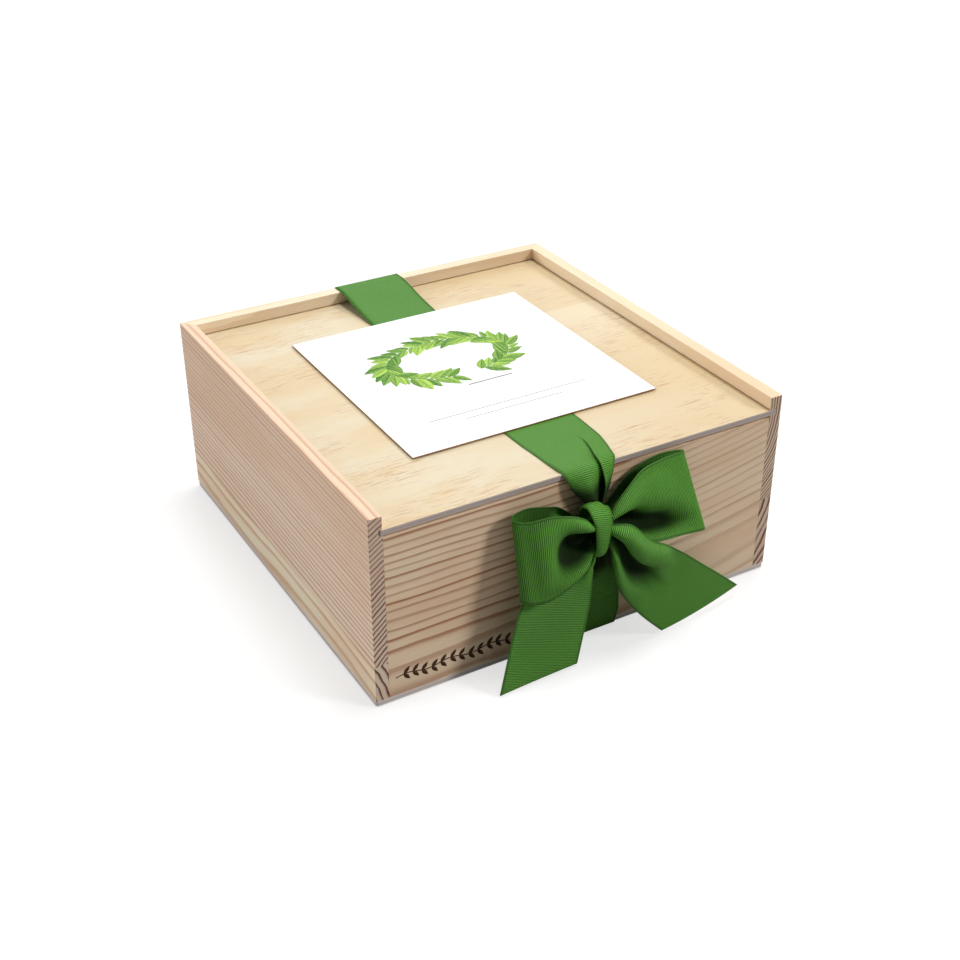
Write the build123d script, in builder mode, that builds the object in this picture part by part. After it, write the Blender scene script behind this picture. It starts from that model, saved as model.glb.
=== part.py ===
"""Indoor herb planter: a pine box with a sliding plywood lid, tied up with a grosgrain ribbon and bow.

The planter stands on the ground plane, z = 0. X runs to the right along the front, Y runs to the
back and Z runs up. The origin is the centre of the box's footprint. All lengths are millimetres.
"""
from build123d import *
import os

os.makedirs("parts", exist_ok=True)


# Driving sizes of the box
box_width = 230.0
box_depth = 232.0
wall_thickness = 7.0
wall_height = 100.5
base_thickness = 3.0
base_corner_radius = 1.5
edge_round = 0.5
lower_board_height_left = 20.0
lower_board_height_right = 41.0

# Lid and the grooves it slides in
lid_thickness = 3.0
lid_end_play = 0.5
lid_left_play = 3.3
lid_right_play = 0.2
lip_height = 7.1
groove_depth = 4.5
groove_floor_gap = 0.1
groove_roof_gap = 0.3
groove_lip_chamfer = 1.0
front_panel_gap = 0.8
lid_corner_radius = 1.0

# Brads that pin the base to the walls
brad_radius = 0.6
brad_length = 15.0
brads_per_side = 3
brads_per_end = 2
brad_spacing = 80.0

# Ribbon
ribbon_width = 40.0
ribbon_thickness = 0.5
ribbon_centre = -1.4
ribbon_drift = 2.8
touch_gap = 0.3

# Printed card and the glue dots under it
card_front_setback = 46.5
card_back_setback = 38.5
card_thickness = 0.8
card_right_shift = 1.5
glue_dot_radius = 5.0
glue_dot_inset = 14.0
glue_dots_per_row = 2

# Liner, pots and soil discs
liner_height = 60.0
liner_wall = 1.0
liner_side_gap = 1.0
liner_corner_radius = 8.0
pot_side_gap = 11.0
pot_gap = 10.0
pot_taper = 12.0
pot_height = 62.0
pot_wall = 3.0
pot_rim_height = 6.0
pot_rim_step = 1.2
pots_per_row = 2
soil_disc_side_gap = 5.0
soil_disc_height = 14.0
soil_disc_chamfer = 1.5

# Paper goods and markers that lie on the pots' rims
leaflet_width = 105.0
leaflet_length = 148.0
leaflet_thickness = 0.6
packet_width = 60.0
packet_length = 86.0
packet_thickness = 1.2
packet_spacing = 2.0
packets_per_row = 2
marker_width = 12.0
marker_length = 120.0
marker_thickness = 1.6
marker_pitch = 14.0
marker_tip_length = 10.0

# Bow
knot_width = 15.0
knot_height = 21.0
knot_depth = 13.0
knot_stand_off = 3.8
knot_drop = 27.4
knot_side_round = 1.5
knot_corner_radius = 5.0
loop_reach_left = 46.0
loop_reach_right = 57.5
tail_reach_left = 60.0
tail_reach_right = 89.0
tail_ground_gap = 1.0
bow_stand_off = 24.0
gather_root_depth = 6.5
front_run_root_depth = 7.0
flat_fold_depth = 0.05
gathered_fold_depth = 2.2
loop_fold_depth = 3.0
steps_between_slices = 3
deepest_bow_share = 0.42

# Levels, from the ground up
base_bottom = ribbon_thickness
wall_bottom = base_bottom + base_thickness
wall_top = wall_bottom + wall_height
lid_top = wall_top - lip_height
lid_bottom = lid_top - lid_thickness
groove_bottom = lid_bottom - groove_floor_gap
groove_top = lid_top + groove_roof_gap
front_panel_top = lid_bottom - front_panel_gap

# Faces of the box
right_face = box_width / 2
left_face = -right_face
back_face = box_depth / 2
front_face = -back_face
cut_overrun = 5.0


def save_piece(part, label):
    """Label a finished piece and write it to its own file."""
    part.label = label
    export_step(part, f"parts/{label}.step")


# Walls of the box

def board_outline(low, high, has_groove):
    """Outline of a board's end: outer face at zero, inner face at the wall thickness."""
    outline = [(0, low), (wall_thickness, low)]
    if has_groove:
        groove_wall = wall_thickness - groove_depth
        outline += [
            (wall_thickness, groove_bottom),
            (groove_wall, groove_bottom),
            (groove_wall, groove_top),
            (wall_thickness - groove_lip_chamfer, groove_top),
            (wall_thickness, groove_top + groove_lip_chamfer),
        ]
    return outline + [(wall_thickness, high), (0, high)]


def side_board_plane(face, inward):
    """Plane of a side board's front end, with its first axis pointing into the box."""
    return Plane(origin=(face, front_face, 0), x_dir=(inward, 0, 0), z_dir=(0, -inward, 0))


def mitre_plane(face, inward):
    """Upright plane through a back corner at 45 degrees, facing the side board that it bounds."""
    return Plane(origin=(face, back_face, 0), z_dir=(-inward, -1, 0))


split_left = wall_bottom + lower_board_height_left
split_right = wall_bottom + lower_board_height_right

with BuildPart() as left_side_lower_board:
    with BuildSketch(side_board_plane(left_face, 1)):
        with BuildLine():
            Polyline(*board_outline(wall_bottom, split_left, False), close=True)
        make_face()
    extrude(amount=-box_depth)
    split(bisect_by=mitre_plane(left_face, 1), keep=Keep.TOP)
    fillet(left_side_lower_board.edges().filter_by(Axis.Z).sort_by(Axis.Y)[:2], edge_round)
save_piece(left_side_lower_board.part, "left_side_lower_board")

with BuildPart() as left_side_upper_board:
    with BuildSketch(side_board_plane(left_face, 1)):
        with BuildLine():
            Polyline(*board_outline(split_left, wall_top, True), close=True)
        make_face()
    extrude(amount=-box_depth)
    split(bisect_by=mitre_plane(left_face, 1), keep=Keep.TOP)
    fillet(left_side_upper_board.edges().filter_by(Axis.Y).group_by(Axis.Z)[-1], edge_round)
save_piece(left_side_upper_board.part, "left_side_upper_board")

with BuildPart() as right_side_lower_board:
    with BuildSketch(side_board_plane(right_face, -1)):
        with BuildLine():
            Polyline(*board_outline(wall_bottom, split_right, False), close=True)
        make_face()
    extrude(amount=box_depth)
    split(bisect_by=mitre_plane(right_face, -1), keep=Keep.TOP)
    fillet(right_side_lower_board.edges().filter_by(Axis.Z).sort_by(Axis.Y)[:2], edge_round)
save_piece(right_side_lower_board.part, "right_side_lower_board")

with BuildPart() as right_side_upper_board:
    with BuildSketch(side_board_plane(right_face, -1)):
        with BuildLine():
            Polyline(*board_outline(split_right, wall_top, True), close=True)
        make_face()
    extrude(amount=box_depth)
    split(bisect_by=mitre_plane(right_face, -1), keep=Keep.TOP)
    fillet(right_side_upper_board.edges().filter_by(Axis.Y).group_by(Axis.Z)[-1], edge_round)
save_piece(right_side_upper_board.part, "right_side_upper_board")

with BuildPart() as back_panel:
    with BuildSketch(Plane(origin=(left_face, back_face, 0), x_dir=(0, -1, 0), z_dir=(-1, 0, 0))):
        with BuildLine():
            Polyline(*board_outline(wall_bottom, wall_top, True), close=True)
        make_face()
    extrude(amount=-box_width)
    split(bisect_by=mitre_plane(left_face, 1), keep=Keep.BOTTOM)
    split(bisect_by=mitre_plane(right_face, -1), keep=Keep.BOTTOM)
    fillet(back_panel.edges().filter_by(Axis.X).group_by(Axis.Z)[-1], edge_round)
save_piece(back_panel.part, "back_panel")

with BuildPart() as front_panel:
    with BuildSketch(Plane.XY.offset(wall_bottom)):
        with Locations((0, front_face + wall_thickness / 2)):
            Rectangle(box_width - 2 * wall_thickness, wall_thickness)
    extrude(amount=front_panel_top - wall_bottom)
    fillet(front_panel.edges().filter_by(Axis.X).group_by(Axis.Z)[-1], edge_round)
save_piece(front_panel.part, "front_panel")

with BuildPart() as base_panel:
    with BuildSketch(Plane.XY.offset(base_bottom)):
        RectangleRounded(box_width, box_depth, base_corner_radius)
    extrude(amount=base_thickness)
save_piece(base_panel.part, "base_panel")

with BuildPart() as base_brads:
    brad_x = right_face - wall_thickness / 2
    brad_y = back_face - wall_thickness / 2
    with BuildSketch(Plane.XY.offset(base_bottom)):
        with GridLocations(2 * brad_x, brad_spacing, 2, brads_per_side):
            Circle(brad_radius)
        with GridLocations(brad_spacing, 2 * brad_y, brads_per_end, 2):
            Circle(brad_radius)
    extrude(amount=brad_length)
save_piece(base_brads.part, "base_brads")


# Planter fittings inside the box

liner_bottom = wall_bottom
liner_width = box_width - 2 * (wall_thickness + liner_side_gap)
liner_depth = box_depth - 2 * (wall_thickness + liner_side_gap)
pot_space = min(liner_width, liner_depth) - 2 * (liner_wall + pot_side_gap)
pot_top_radius = (pot_space - (pots_per_row - 1) * pot_gap) / (2 * pots_per_row)
pot_floor_radius = pot_top_radius - pot_taper
pot_pitch = 2 * pot_top_radius + pot_gap
soil_disc_radius = pot_floor_radius - pot_wall - soil_disc_side_gap
pot_bottom = liner_bottom + liner_wall
pot_top = pot_bottom + pot_height
disc_bottom = pot_bottom + pot_wall

with BuildPart() as planter_liner:
    with BuildSketch(Plane.XY.offset(liner_bottom)):
        RectangleRounded(liner_width, liner_depth, liner_corner_radius)
    extrude(amount=liner_height)
    with BuildSketch(Plane.XY.offset(liner_bottom + liner_wall)):
        RectangleRounded(
            liner_width - 2 * liner_wall, liner_depth - 2 * liner_wall, liner_corner_radius - liner_wall
        )
    extrude(amount=liner_height, mode=Mode.SUBTRACT)
save_piece(planter_liner.part, "planter_liner")

pot_spots = [place.position for place in GridLocations(pot_pitch, pot_pitch, pots_per_row, pots_per_row)]
pot_rim_bottom = pot_height - pot_rim_height
pot_slope = (pot_top_radius - pot_rim_step - pot_floor_radius) / pot_rim_bottom

for number, spot in enumerate(pot_spots, start=1):
    with BuildPart() as coir_pot:
        with BuildSketch(Plane(origin=(spot.X, spot.Y, pot_bottom), x_dir=(1, 0, 0), z_dir=(0, -1, 0))):
            with BuildLine():
                Polyline(
                    (0, 0),
                    (pot_floor_radius, 0),
                    (pot_floor_radius + pot_slope * pot_rim_bottom, pot_rim_bottom),
                    (pot_top_radius, pot_rim_bottom),
                    (pot_top_radius, pot_height),
                    (pot_top_radius - pot_wall, pot_height),
                    (pot_floor_radius - pot_wall + pot_slope * pot_wall, pot_wall),
                    (0, pot_wall),
                    close=True,
                )
            make_face()
        revolve(axis=Axis((spot.X, spot.Y, pot_bottom), (0, 0, 1)))
    save_piece(coir_pot.part, f"coir_pot_{number}")

    with BuildPart() as soil_disc:
        with BuildSketch(Plane.XY.offset(disc_bottom)):
            with Locations((spot.X, spot.Y)):
                Circle(soil_disc_radius)
        extrude(amount=soil_disc_height)
        chamfer(soil_disc.edges().group_by(Axis.Z)[-1], soil_disc_chamfer)
    save_piece(soil_disc.part, f"soil_disc_{number}")

leaflet_bottom = pot_top
packet_bottom = leaflet_bottom + leaflet_thickness
marker_bottom = packet_bottom + packet_thickness

with BuildPart() as growing_guide:
    with BuildSketch(Plane.XY.offset(leaflet_bottom)):
        Rectangle(leaflet_width, leaflet_length)
    extrude(amount=leaflet_thickness)
save_piece(growing_guide.part, "growing_guide")

packet_pitch_x = packet_width + packet_spacing
packet_pitch_y = packet_length + packet_spacing
packet_grid = GridLocations(packet_pitch_x, packet_pitch_y, packets_per_row, packets_per_row)
packet_spots = [place.position for place in packet_grid]
for number, spot in enumerate(packet_spots, start=1):
    with BuildPart() as seed_packet:
        with BuildSketch(Plane.XY.offset(packet_bottom)):
            with Locations((spot.X, spot.Y)):
                Rectangle(packet_width, packet_length)
        extrude(amount=packet_thickness)
    save_piece(seed_packet.part, f"seed_packet_{number}")

marker_spots = [place.position for place in GridLocations(marker_pitch, marker_pitch, len(pot_spots), 1)]
for number, spot in enumerate(marker_spots, start=1):
    with BuildPart() as plant_marker:
        with BuildSketch(Plane.XY.offset(marker_bottom)):
            with BuildLine():
                Polyline(
                    (spot.X - marker_width / 2, marker_length / 2),
                    (spot.X + marker_width / 2, marker_length / 2),
                    (spot.X + marker_width / 2, marker_tip_length - marker_length / 2),
                    (spot.X, -marker_length / 2),
                    (spot.X - marker_width / 2, marker_tip_length - marker_length / 2),
                    close=True,
                )
            make_face()
        extrude(amount=marker_thickness)
    save_piece(plant_marker.part, f"plant_marker_{number}")


# Lid and card

lid_right = right_face - wall_thickness + groove_depth - lid_right_play
lid_left = left_face + wall_thickness - groove_depth + lid_left_play
lid_width = lid_right - lid_left
lid_back = back_face - wall_thickness + groove_depth - lid_end_play
lid_length = lid_back - front_face
card_centre_x = card_right_shift
card_front = front_face + card_front_setback
card_back = back_face - wall_thickness - card_back_setback
card_side = card_back - card_front
card_bottom = lid_top + ribbon_thickness

with BuildPart() as lid_panel:
    with BuildSketch(Plane.XY.offset(lid_bottom)):
        with Locations(((lid_left + lid_right) / 2, (front_face + lid_back) / 2)):
            RectangleRounded(lid_width, lid_length, lid_corner_radius)
    extrude(amount=lid_thickness)
save_piece(lid_panel.part, "lid_panel")

with BuildPart() as card:
    with BuildSketch(Plane.XY.offset(card_bottom)):
        with Locations((card_centre_x, card_front + card_side / 2)):
            Rectangle(card_side, card_side)
    extrude(amount=card_thickness)
save_piece(card.part, "card")

with BuildPart() as card_glue_dots:
    dot_pitch = card_side - 2 * glue_dot_inset
    with BuildSketch(Plane.XY.offset(lid_top)):
        with Locations((card_centre_x, card_front + card_side / 2)):
            with GridLocations(dot_pitch, dot_pitch, glue_dots_per_row, glue_dots_per_row):
                Circle(glue_dot_radius)
    extrude(amount=ribbon_thickness)
save_piece(card_glue_dots.part, "card_glue_dots")


# Ribbon that wraps the box

ribbon_half = ribbon_width / 2
back_outside = back_face + ribbon_thickness
front_outside = front_face - ribbon_thickness
wall_inside = back_face - wall_thickness

with BuildPart() as ribbon_under_run:
    with BuildSketch(Plane.XY):
        with Locations((ribbon_centre, (front_outside + back_outside) / 2)):
            Rectangle(ribbon_width, back_outside - front_outside)
    extrude(amount=ribbon_thickness)
save_piece(ribbon_under_run.part, "ribbon_under_run")

with BuildPart() as ribbon_back_run:
    with BuildSketch(Plane.XY.offset(ribbon_thickness)):
        with Locations((ribbon_centre, back_face + ribbon_thickness / 2)):
            Rectangle(ribbon_width, ribbon_thickness)
    extrude(amount=wall_top - ribbon_thickness)
save_piece(ribbon_back_run.part, "ribbon_back_run")

# The top run lies on the lid under the card, then climbs to the top of the back wall
with BuildPart() as ribbon_top_run:
    with BuildSketch(Plane.YZ.offset(ribbon_centre - ribbon_width)):
        with BuildLine():
            run_under = [
                (card_front, lid_top),
                (card_back, lid_top),
                (wall_inside, wall_top),
                (back_outside, wall_top),
            ]
            Polyline(
                *run_under,
                *[(y, z + ribbon_thickness) for y, z in reversed(run_under)],
                close=True,
            )
        make_face()
    extrude(amount=2 * ribbon_width)
    with BuildSketch(Plane.XY.offset(lid_top - cut_overrun)):
        with BuildLine():
            card_end = ribbon_centre + ribbon_drift
            Polyline(
                (card_end - ribbon_half, card_front),
                (card_end + ribbon_half, card_front),
                (ribbon_centre + ribbon_half, back_outside),
                (ribbon_centre - ribbon_half, back_outside),
                close=True,
            )
        make_face()
    extrude(amount=lip_height + 2 * cut_overrun, mode=Mode.INTERSECT)
save_piece(ribbon_top_run.part, "ribbon_top_run")


# Bands of ribbon with folds across their width

def ribbon_slice(plane, width, fold_depth, fold_count):
    """Slice across the ribbon: shallow arcs that bow out and in by turns, one for each fold."""
    half_thickness = ribbon_thickness / 2
    step = width / fold_count
    sense = -1 if fold_depth < 0 else 1
    depth = min(max(abs(fold_depth), flat_fold_depth), deepest_bow_share * step)
    arcs = []
    for fold in range(fold_count):
        start = fold * step - width / 2
        bow = sense * depth if fold % 2 == 0 else -sense * depth
        arcs.append((start, start + step / 2, start + step, bow))
    with BuildSketch(plane) as ribbon_sketch:
        with BuildLine():
            for start, middle, end, bow in arcs:
                ThreePointArc(
                    (start, half_thickness), (middle, half_thickness + bow), (end, half_thickness)
                )
            Line((width / 2, half_thickness), (width / 2, -half_thickness))
            for start, middle, end, bow in reversed(arcs):
                ThreePointArc(
                    (end, -half_thickness), (middle, bow - half_thickness), (start, -half_thickness)
                )
            Line((-width / 2, -half_thickness), (-width / 2, half_thickness))
        make_face()
    return ribbon_sketch.sketch


def eased(before, start, end, after, share):
    """Point on the smooth curve from start to end that also looks to the values before and after."""
    first = (end - before) * 0.5
    last = (after - start) * 0.5
    square = share * share
    cube = square * share
    return (
        start * (2 * cube - 3 * square + 1)
        + first * (cube - 2 * square + share)
        + end * (3 * square - 2 * cube)
        + last * (cube - square)
    )


def smooth_rows(rows):
    """Rows of a band with more rows eased in between them."""
    last = len(rows) - 1
    smoothed = []
    for index in range(last):
        around = [rows[max(index - 1, 0)], rows[index], rows[index + 1], rows[min(index + 2, last)]]
        for step in range(steps_between_slices):
            share = step / steps_between_slices
            smoothed.append(tuple(eased(*column, share) for column in zip(*around)))
    smoothed.append(rows[last])
    return smoothed


def band_slices(rows, first_way, last_way, fold_count=1):
    """Slices of a band, in order.

    Each row holds the two ends of a slice and its fold depth. A slice stands square to the line
    between its neighbours' middles; the first and last slices face the ways that are given.
    """
    rows = smooth_rows(rows)
    middles = [(start + end) * 0.5 for start, end, _ in rows]
    last = len(rows) - 1
    slices = []
    for index, (start, end, fold_depth) in enumerate(rows):
        across = (start - end).normalized()
        if index == 0:
            way = first_way
        elif index == last:
            way = last_way
        else:
            way = middles[index + 1] - middles[index - 1]
        way = (way - across * way.dot(across)).normalized()
        plane = Plane(origin=middles[index], x_dir=across, z_dir=way)
        slices.append(ribbon_slice(plane, (start - end).length, fold_depth, fold_count))
    return slices


knot_x = ribbon_centre
knot_z = lid_top - knot_drop
knot_top = knot_z + knot_height / 2
knot_bottom = knot_z - knot_height / 2
knot_back = front_face - knot_stand_off
ribbon_skin = ribbon_thickness / 2 + flat_fold_depth

with BuildPart() as bow_knot:
    with BuildSketch(Plane.YZ.offset(knot_x - knot_width / 2)):
        with Locations((knot_back - knot_depth / 2, knot_z)):
            RectangleRounded(knot_depth, knot_height, knot_corner_radius)
    extrude(amount=knot_width)
    fillet(bow_knot.faces().filter_by(Axis.X).edges(), knot_side_round)
save_piece(bow_knot.part, "bow_knot")


# Gather over the lid's front edge: the run's edges, how far along the lid and forward, lift and drop
gather_shares = [
    (-0.86, 1.14, 0.00, 0.00, 0.0, 0.00, 0.00),
    (-0.80, 1.11, 0.44, 0.00, 0.2, 0.00, 0.00),
    (-0.75, 0.98, 0.74, 0.00, 0.8, 0.00, 0.08),
    (-0.70, 0.84, 0.95, 0.00, 1.7, 0.00, 0.20),
    (-0.67, 0.78, 1.00, 0.28, 0.0, 0.03, 0.25),
    (-0.61, 0.70, 1.00, 0.34, 0.0, 0.23, 0.50),
    (-0.43, 0.57, 1.00, 0.52, 0.0, 0.62, 0.90),
    (-0.20, 0.32, 1.00, 1.00, 0.0, 1.00, 1.00),
]
# Front run: the run's edges, how far forward, how far down and its fold
front_run_shares = [
    (-0.23, 0.24, 1.00, 0.00, 1.0),
    (-0.40, 0.45, 0.97, 0.15, 0.8),
    (-0.70, 0.73, 0.63, 0.39, 0.4),
    (-0.95, 1.00, 0.26, 0.63, 0.1),
    (-1.00, 1.04, 0.10, 0.86, 0.0),
    (-1.00, 1.00, 0.00, 1.00, 0.0),
]


def fold_from_share(share, deepest):
    """Fold depth between that of flat ribbon and the deepest."""
    return flat_fold_depth + share * (deepest - flat_fold_depth)


def gather_rows():
    """Slices of the gather, from the card's front edge to the top of the knot."""
    drop_length = lid_top + ribbon_skin - knot_top - touch_gap
    rows = []
    for left, right, along, forward, lift, drop, fold in gather_shares:
        y = card_front - along * card_front_setback - forward * gather_root_depth
        z = lid_top + ribbon_skin + lift * ribbon_thickness - drop * drop_length
        start = Vector(ribbon_centre + left * ribbon_half, y, z)
        end = Vector(ribbon_centre + right * ribbon_half, y, z)
        rows.append((start, end, fold_from_share(fold, gathered_fold_depth)))
    return rows


def front_run_rows():
    """Slices of the front run, from the bottom of the knot to the run under the base."""
    drop_length = knot_bottom - touch_gap - ribbon_thickness
    rows = []
    for left, right, forward, drop, fold in front_run_shares:
        y = front_face - ribbon_skin - forward * (front_run_root_depth - ribbon_skin)
        z = knot_bottom - touch_gap - drop * drop_length
        start = Vector(ribbon_centre + left * ribbon_half, y, z)
        end = Vector(ribbon_centre + right * ribbon_half, y, z)
        rows.append((start, end, fold_from_share(fold, gathered_fold_depth)))
    return rows


forward_way = Vector(0, -1, 0)
downward_way = Vector(0, 0, -1)

with BuildPart() as ribbon_front_gather:
    loft(band_slices(gather_rows(), forward_way, downward_way, fold_count=3), ruled=True)
save_piece(ribbon_front_gather.part, "ribbon_front_gather")

with BuildPart() as ribbon_front_run:
    loft(band_slices(front_run_rows(), downward_way, downward_way, fold_count=3), ruled=True)
save_piece(ribbon_front_run.part, "ribbon_front_run")


def bow_point(side, reach, reach_share, depth_share, rise_share):
    """Point of the bow: out from the knot's side face, forward from the box, up from the knot's middle."""
    root = knot_width / 2 + touch_gap
    return Vector(
        knot_x + side * (root + reach_share * (reach - root)),
        front_face - depth_share * bow_stand_off,
        knot_z + rise_share * ribbon_width,
    )


def bow_rows(side, reach, shares):
    """Turn a table of shares into slices: upper end, lower end and fold depth."""
    rows = []
    for upper_shares, lower_shares, fold_share in shares:
        upper = bow_point(side, reach, *upper_shares)
        lower = bow_point(side, reach, *lower_shares)
        rows.append((upper, lower, fold_from_share(fold_share, loop_fold_depth)))
    return rows


# Each row: (reach, depth, rise) of the upper edge, the same of the lower edge, then the fold's share
left_loop_shares = [
    ((0.00, 0.29, 0.12), (0.00, 0.31, -0.20), 0.6),
    ((0.24, 0.15, 0.31), (0.24, 0.24, -0.42), 0.3),
    ((0.60, 0.16, 0.43), (0.60, 0.36, -0.51), 0.0),
    ((0.88, 0.22, 0.47), (0.90, 0.52, -0.53), 0.0),
    ((1.00, 0.35, 0.44), (1.01, 0.75, -0.56), 0.0),
    ((0.92, 0.48, 0.42), (0.93, 0.89, -0.57), 0.0),
    ((0.64, 0.58, 0.42), (0.68, 0.94, -0.58), -0.3),
    ((0.33, 0.65, 0.38), (0.36, 0.88, -0.50), -0.8),
    ((0.00, 0.68, 0.13), (0.00, 0.64, -0.31), -0.7),
]
right_loop_shares = [
    ((0.00, 0.33, 0.19), (0.00, 0.33, -0.12), 0.6),
    ((0.22, 0.22, 0.50), (0.22, 0.36, -0.24), 0.3),
    ((0.58, 0.12, 0.64), (0.56, 0.55, -0.36), 0.0),
    ((0.86, 0.12, 0.60), (0.86, 0.68, -0.38), 0.0),
    ((0.91, 0.20, 0.58), (1.00, 0.83, -0.36), 0.0),
    ((0.84, 0.27, 0.60), (0.88, 0.88, -0.36), 0.0),
    ((0.50, 0.34, 0.66), (0.50, 0.74, -0.34), -0.4),
    ((0.18, 0.42, 0.47), (0.20, 0.58, -0.30), -0.7),
    ((0.00, 0.50, 0.20), (0.00, 0.50, -0.14), -0.6),
]
loop_fold_row = 4
right_tail_shares = [
    ((0.00, 0.64, 0.05), (0.00, 0.64, -0.27), -0.6),
    ((0.10, 0.74, 0.01), (0.02, 0.76, -0.58), -1.0),
    ((0.22, 0.82, -0.16), (0.05, 0.84, -0.84), -1.0),
    ((0.38, 0.80, -0.40), (0.16, 0.86, -1.20), -0.5),
    ((0.68, 0.66, -0.98), (0.28, 0.87, -1.52), 0.0),
    ((1.00, 0.50, -1.60), (0.41, 0.87, -1.68), 0.0),
]
# Left tail: the same, but down from the knot's bottom to the ground in shares of that height
left_tail_shares = [
    ((0.11, 0.44, 0.00), (0.02, 0.50, 0.00), 0.2),
    ((0.34, 0.51, 0.10), (0.06, 0.54, 0.14), 0.2),
    ((0.58, 0.56, 0.18), (0.08, 0.60, 0.28), 0.1),
    ((0.73, 0.63, 0.26), (0.10, 0.69, 0.44), 0.1),
    ((0.83, 0.75, 0.46), (0.21, 0.81, 0.75), 0.0),
    ((1.00, 0.94, 1.00), (0.26, 0.88, 0.99), 0.0),
]
right_tail_end_way = Vector(1, 0, -1)


def tail_point(reach_share, depth_share, drop_share):
    """Point of the tail that hangs to the left: out from the knot's middle, forward and down."""
    root = knot_bottom - touch_gap
    return Vector(
        knot_x - reach_share * tail_reach_left,
        front_face - depth_share * bow_stand_off,
        root - drop_share * (root - tail_ground_gap),
    )


left_tail_rows = [
    (tail_point(*left), tail_point(*right), fold_from_share(fold, loop_fold_depth))
    for left, right, fold in left_tail_shares
]

for side, reach, shares, label in (
    (-1, loop_reach_left, left_loop_shares, "bow_loop_left"),
    (1, loop_reach_right, right_loop_shares, "bow_loop_right"),
):
    outward = Vector(side, 0, 0)
    loop_slices = band_slices(bow_rows(side, reach, shares), outward, -outward)
    turn = loop_fold_row * steps_between_slices
    with BuildPart() as bow_loop:
        loft(loop_slices[: turn + 1], ruled=True)
        loft(loop_slices[turn:], ruled=True)
    save_piece(bow_loop.part, label)

with BuildPart() as bow_tail_left:
    loft(band_slices(left_tail_rows, downward_way, downward_way), ruled=True)
save_piece(bow_tail_left.part, "bow_tail_left")

with BuildPart() as bow_tail_right:
    tail_rows = bow_rows(1, tail_reach_right, right_tail_shares)
    loft(band_slices(tail_rows, Vector(1, 0, 0), right_tail_end_way), ruled=True)
save_piece(bow_tail_right.part, "bow_tail_right")
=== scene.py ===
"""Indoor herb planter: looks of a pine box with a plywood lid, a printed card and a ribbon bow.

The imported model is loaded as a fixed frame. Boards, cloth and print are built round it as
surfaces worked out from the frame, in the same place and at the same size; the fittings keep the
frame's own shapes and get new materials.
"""
import logging
import math
from dataclasses import dataclass, field
from enum import Enum
from typing import Callable, Optional, Sequence

import bmesh
import bpy
import numpy as np
from mathutils import Matrix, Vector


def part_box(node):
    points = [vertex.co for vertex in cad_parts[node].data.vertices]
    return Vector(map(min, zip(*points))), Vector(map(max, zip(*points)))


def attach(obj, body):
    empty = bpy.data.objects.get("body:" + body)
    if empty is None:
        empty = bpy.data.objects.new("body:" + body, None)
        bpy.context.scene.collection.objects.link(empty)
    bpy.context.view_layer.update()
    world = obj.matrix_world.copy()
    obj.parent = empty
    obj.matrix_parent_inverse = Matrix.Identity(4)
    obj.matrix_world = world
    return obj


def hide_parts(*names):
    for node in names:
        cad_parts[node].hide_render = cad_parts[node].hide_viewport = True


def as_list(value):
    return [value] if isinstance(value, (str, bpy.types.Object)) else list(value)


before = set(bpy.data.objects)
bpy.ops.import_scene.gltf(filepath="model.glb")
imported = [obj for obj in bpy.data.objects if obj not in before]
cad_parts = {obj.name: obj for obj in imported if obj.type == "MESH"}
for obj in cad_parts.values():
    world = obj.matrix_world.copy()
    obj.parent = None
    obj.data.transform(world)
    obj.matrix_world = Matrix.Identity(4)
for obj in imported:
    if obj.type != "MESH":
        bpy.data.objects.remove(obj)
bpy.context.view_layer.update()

log = logging.getLogger("herb_planter")

Colour = tuple[float, float, float]
Point = tuple[float, float, float]
Array = np.ndarray
Socket = bpy.types.NodeSocket
Node = bpy.types.Node
Tree = bpy.types.NodeTree
Material = bpy.types.Material
Piece = bpy.types.Object
Carry = Callable[[Array, float, float], Array]
Ground = Callable[[Array], Array]

MM = 0.001
MM_PER_METRE = 1000.0


class Body(Enum):
    """Bodies of the frame that the pieces ride on."""

    BOX = "box"
    LID = "lid"


class Slot(Enum):
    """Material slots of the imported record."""

    PINE = "pine"
    PLYWOOD = "plywood"
    RIBBON = "ribbon"
    CARD = "card"


class Grain(Enum):
    """Direction that a board's fibres run in."""

    ALONG_X = "x"
    ALONG_Y = "y"


def corners(node: str) -> tuple[Array, Array]:
    """Lowest and highest corner of a frame node, in metres."""
    low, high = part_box(node)
    return np.array(low), np.array(high)


# Faces that other pieces lie on, in millimetres
FRONT_FACE = corners("front_panel")[0][1] * MM_PER_METRE
BACK_FACE = corners("back_panel")[1][1] * MM_PER_METRE
WALL_TOP = corners("back_panel")[1][2] * MM_PER_METRE
LID_TOP = corners("lid_panel")[1][2] * MM_PER_METRE
CARD_TOP = corners("card")[1][2] * MM_PER_METRE


# Meshes from grids of points

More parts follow.
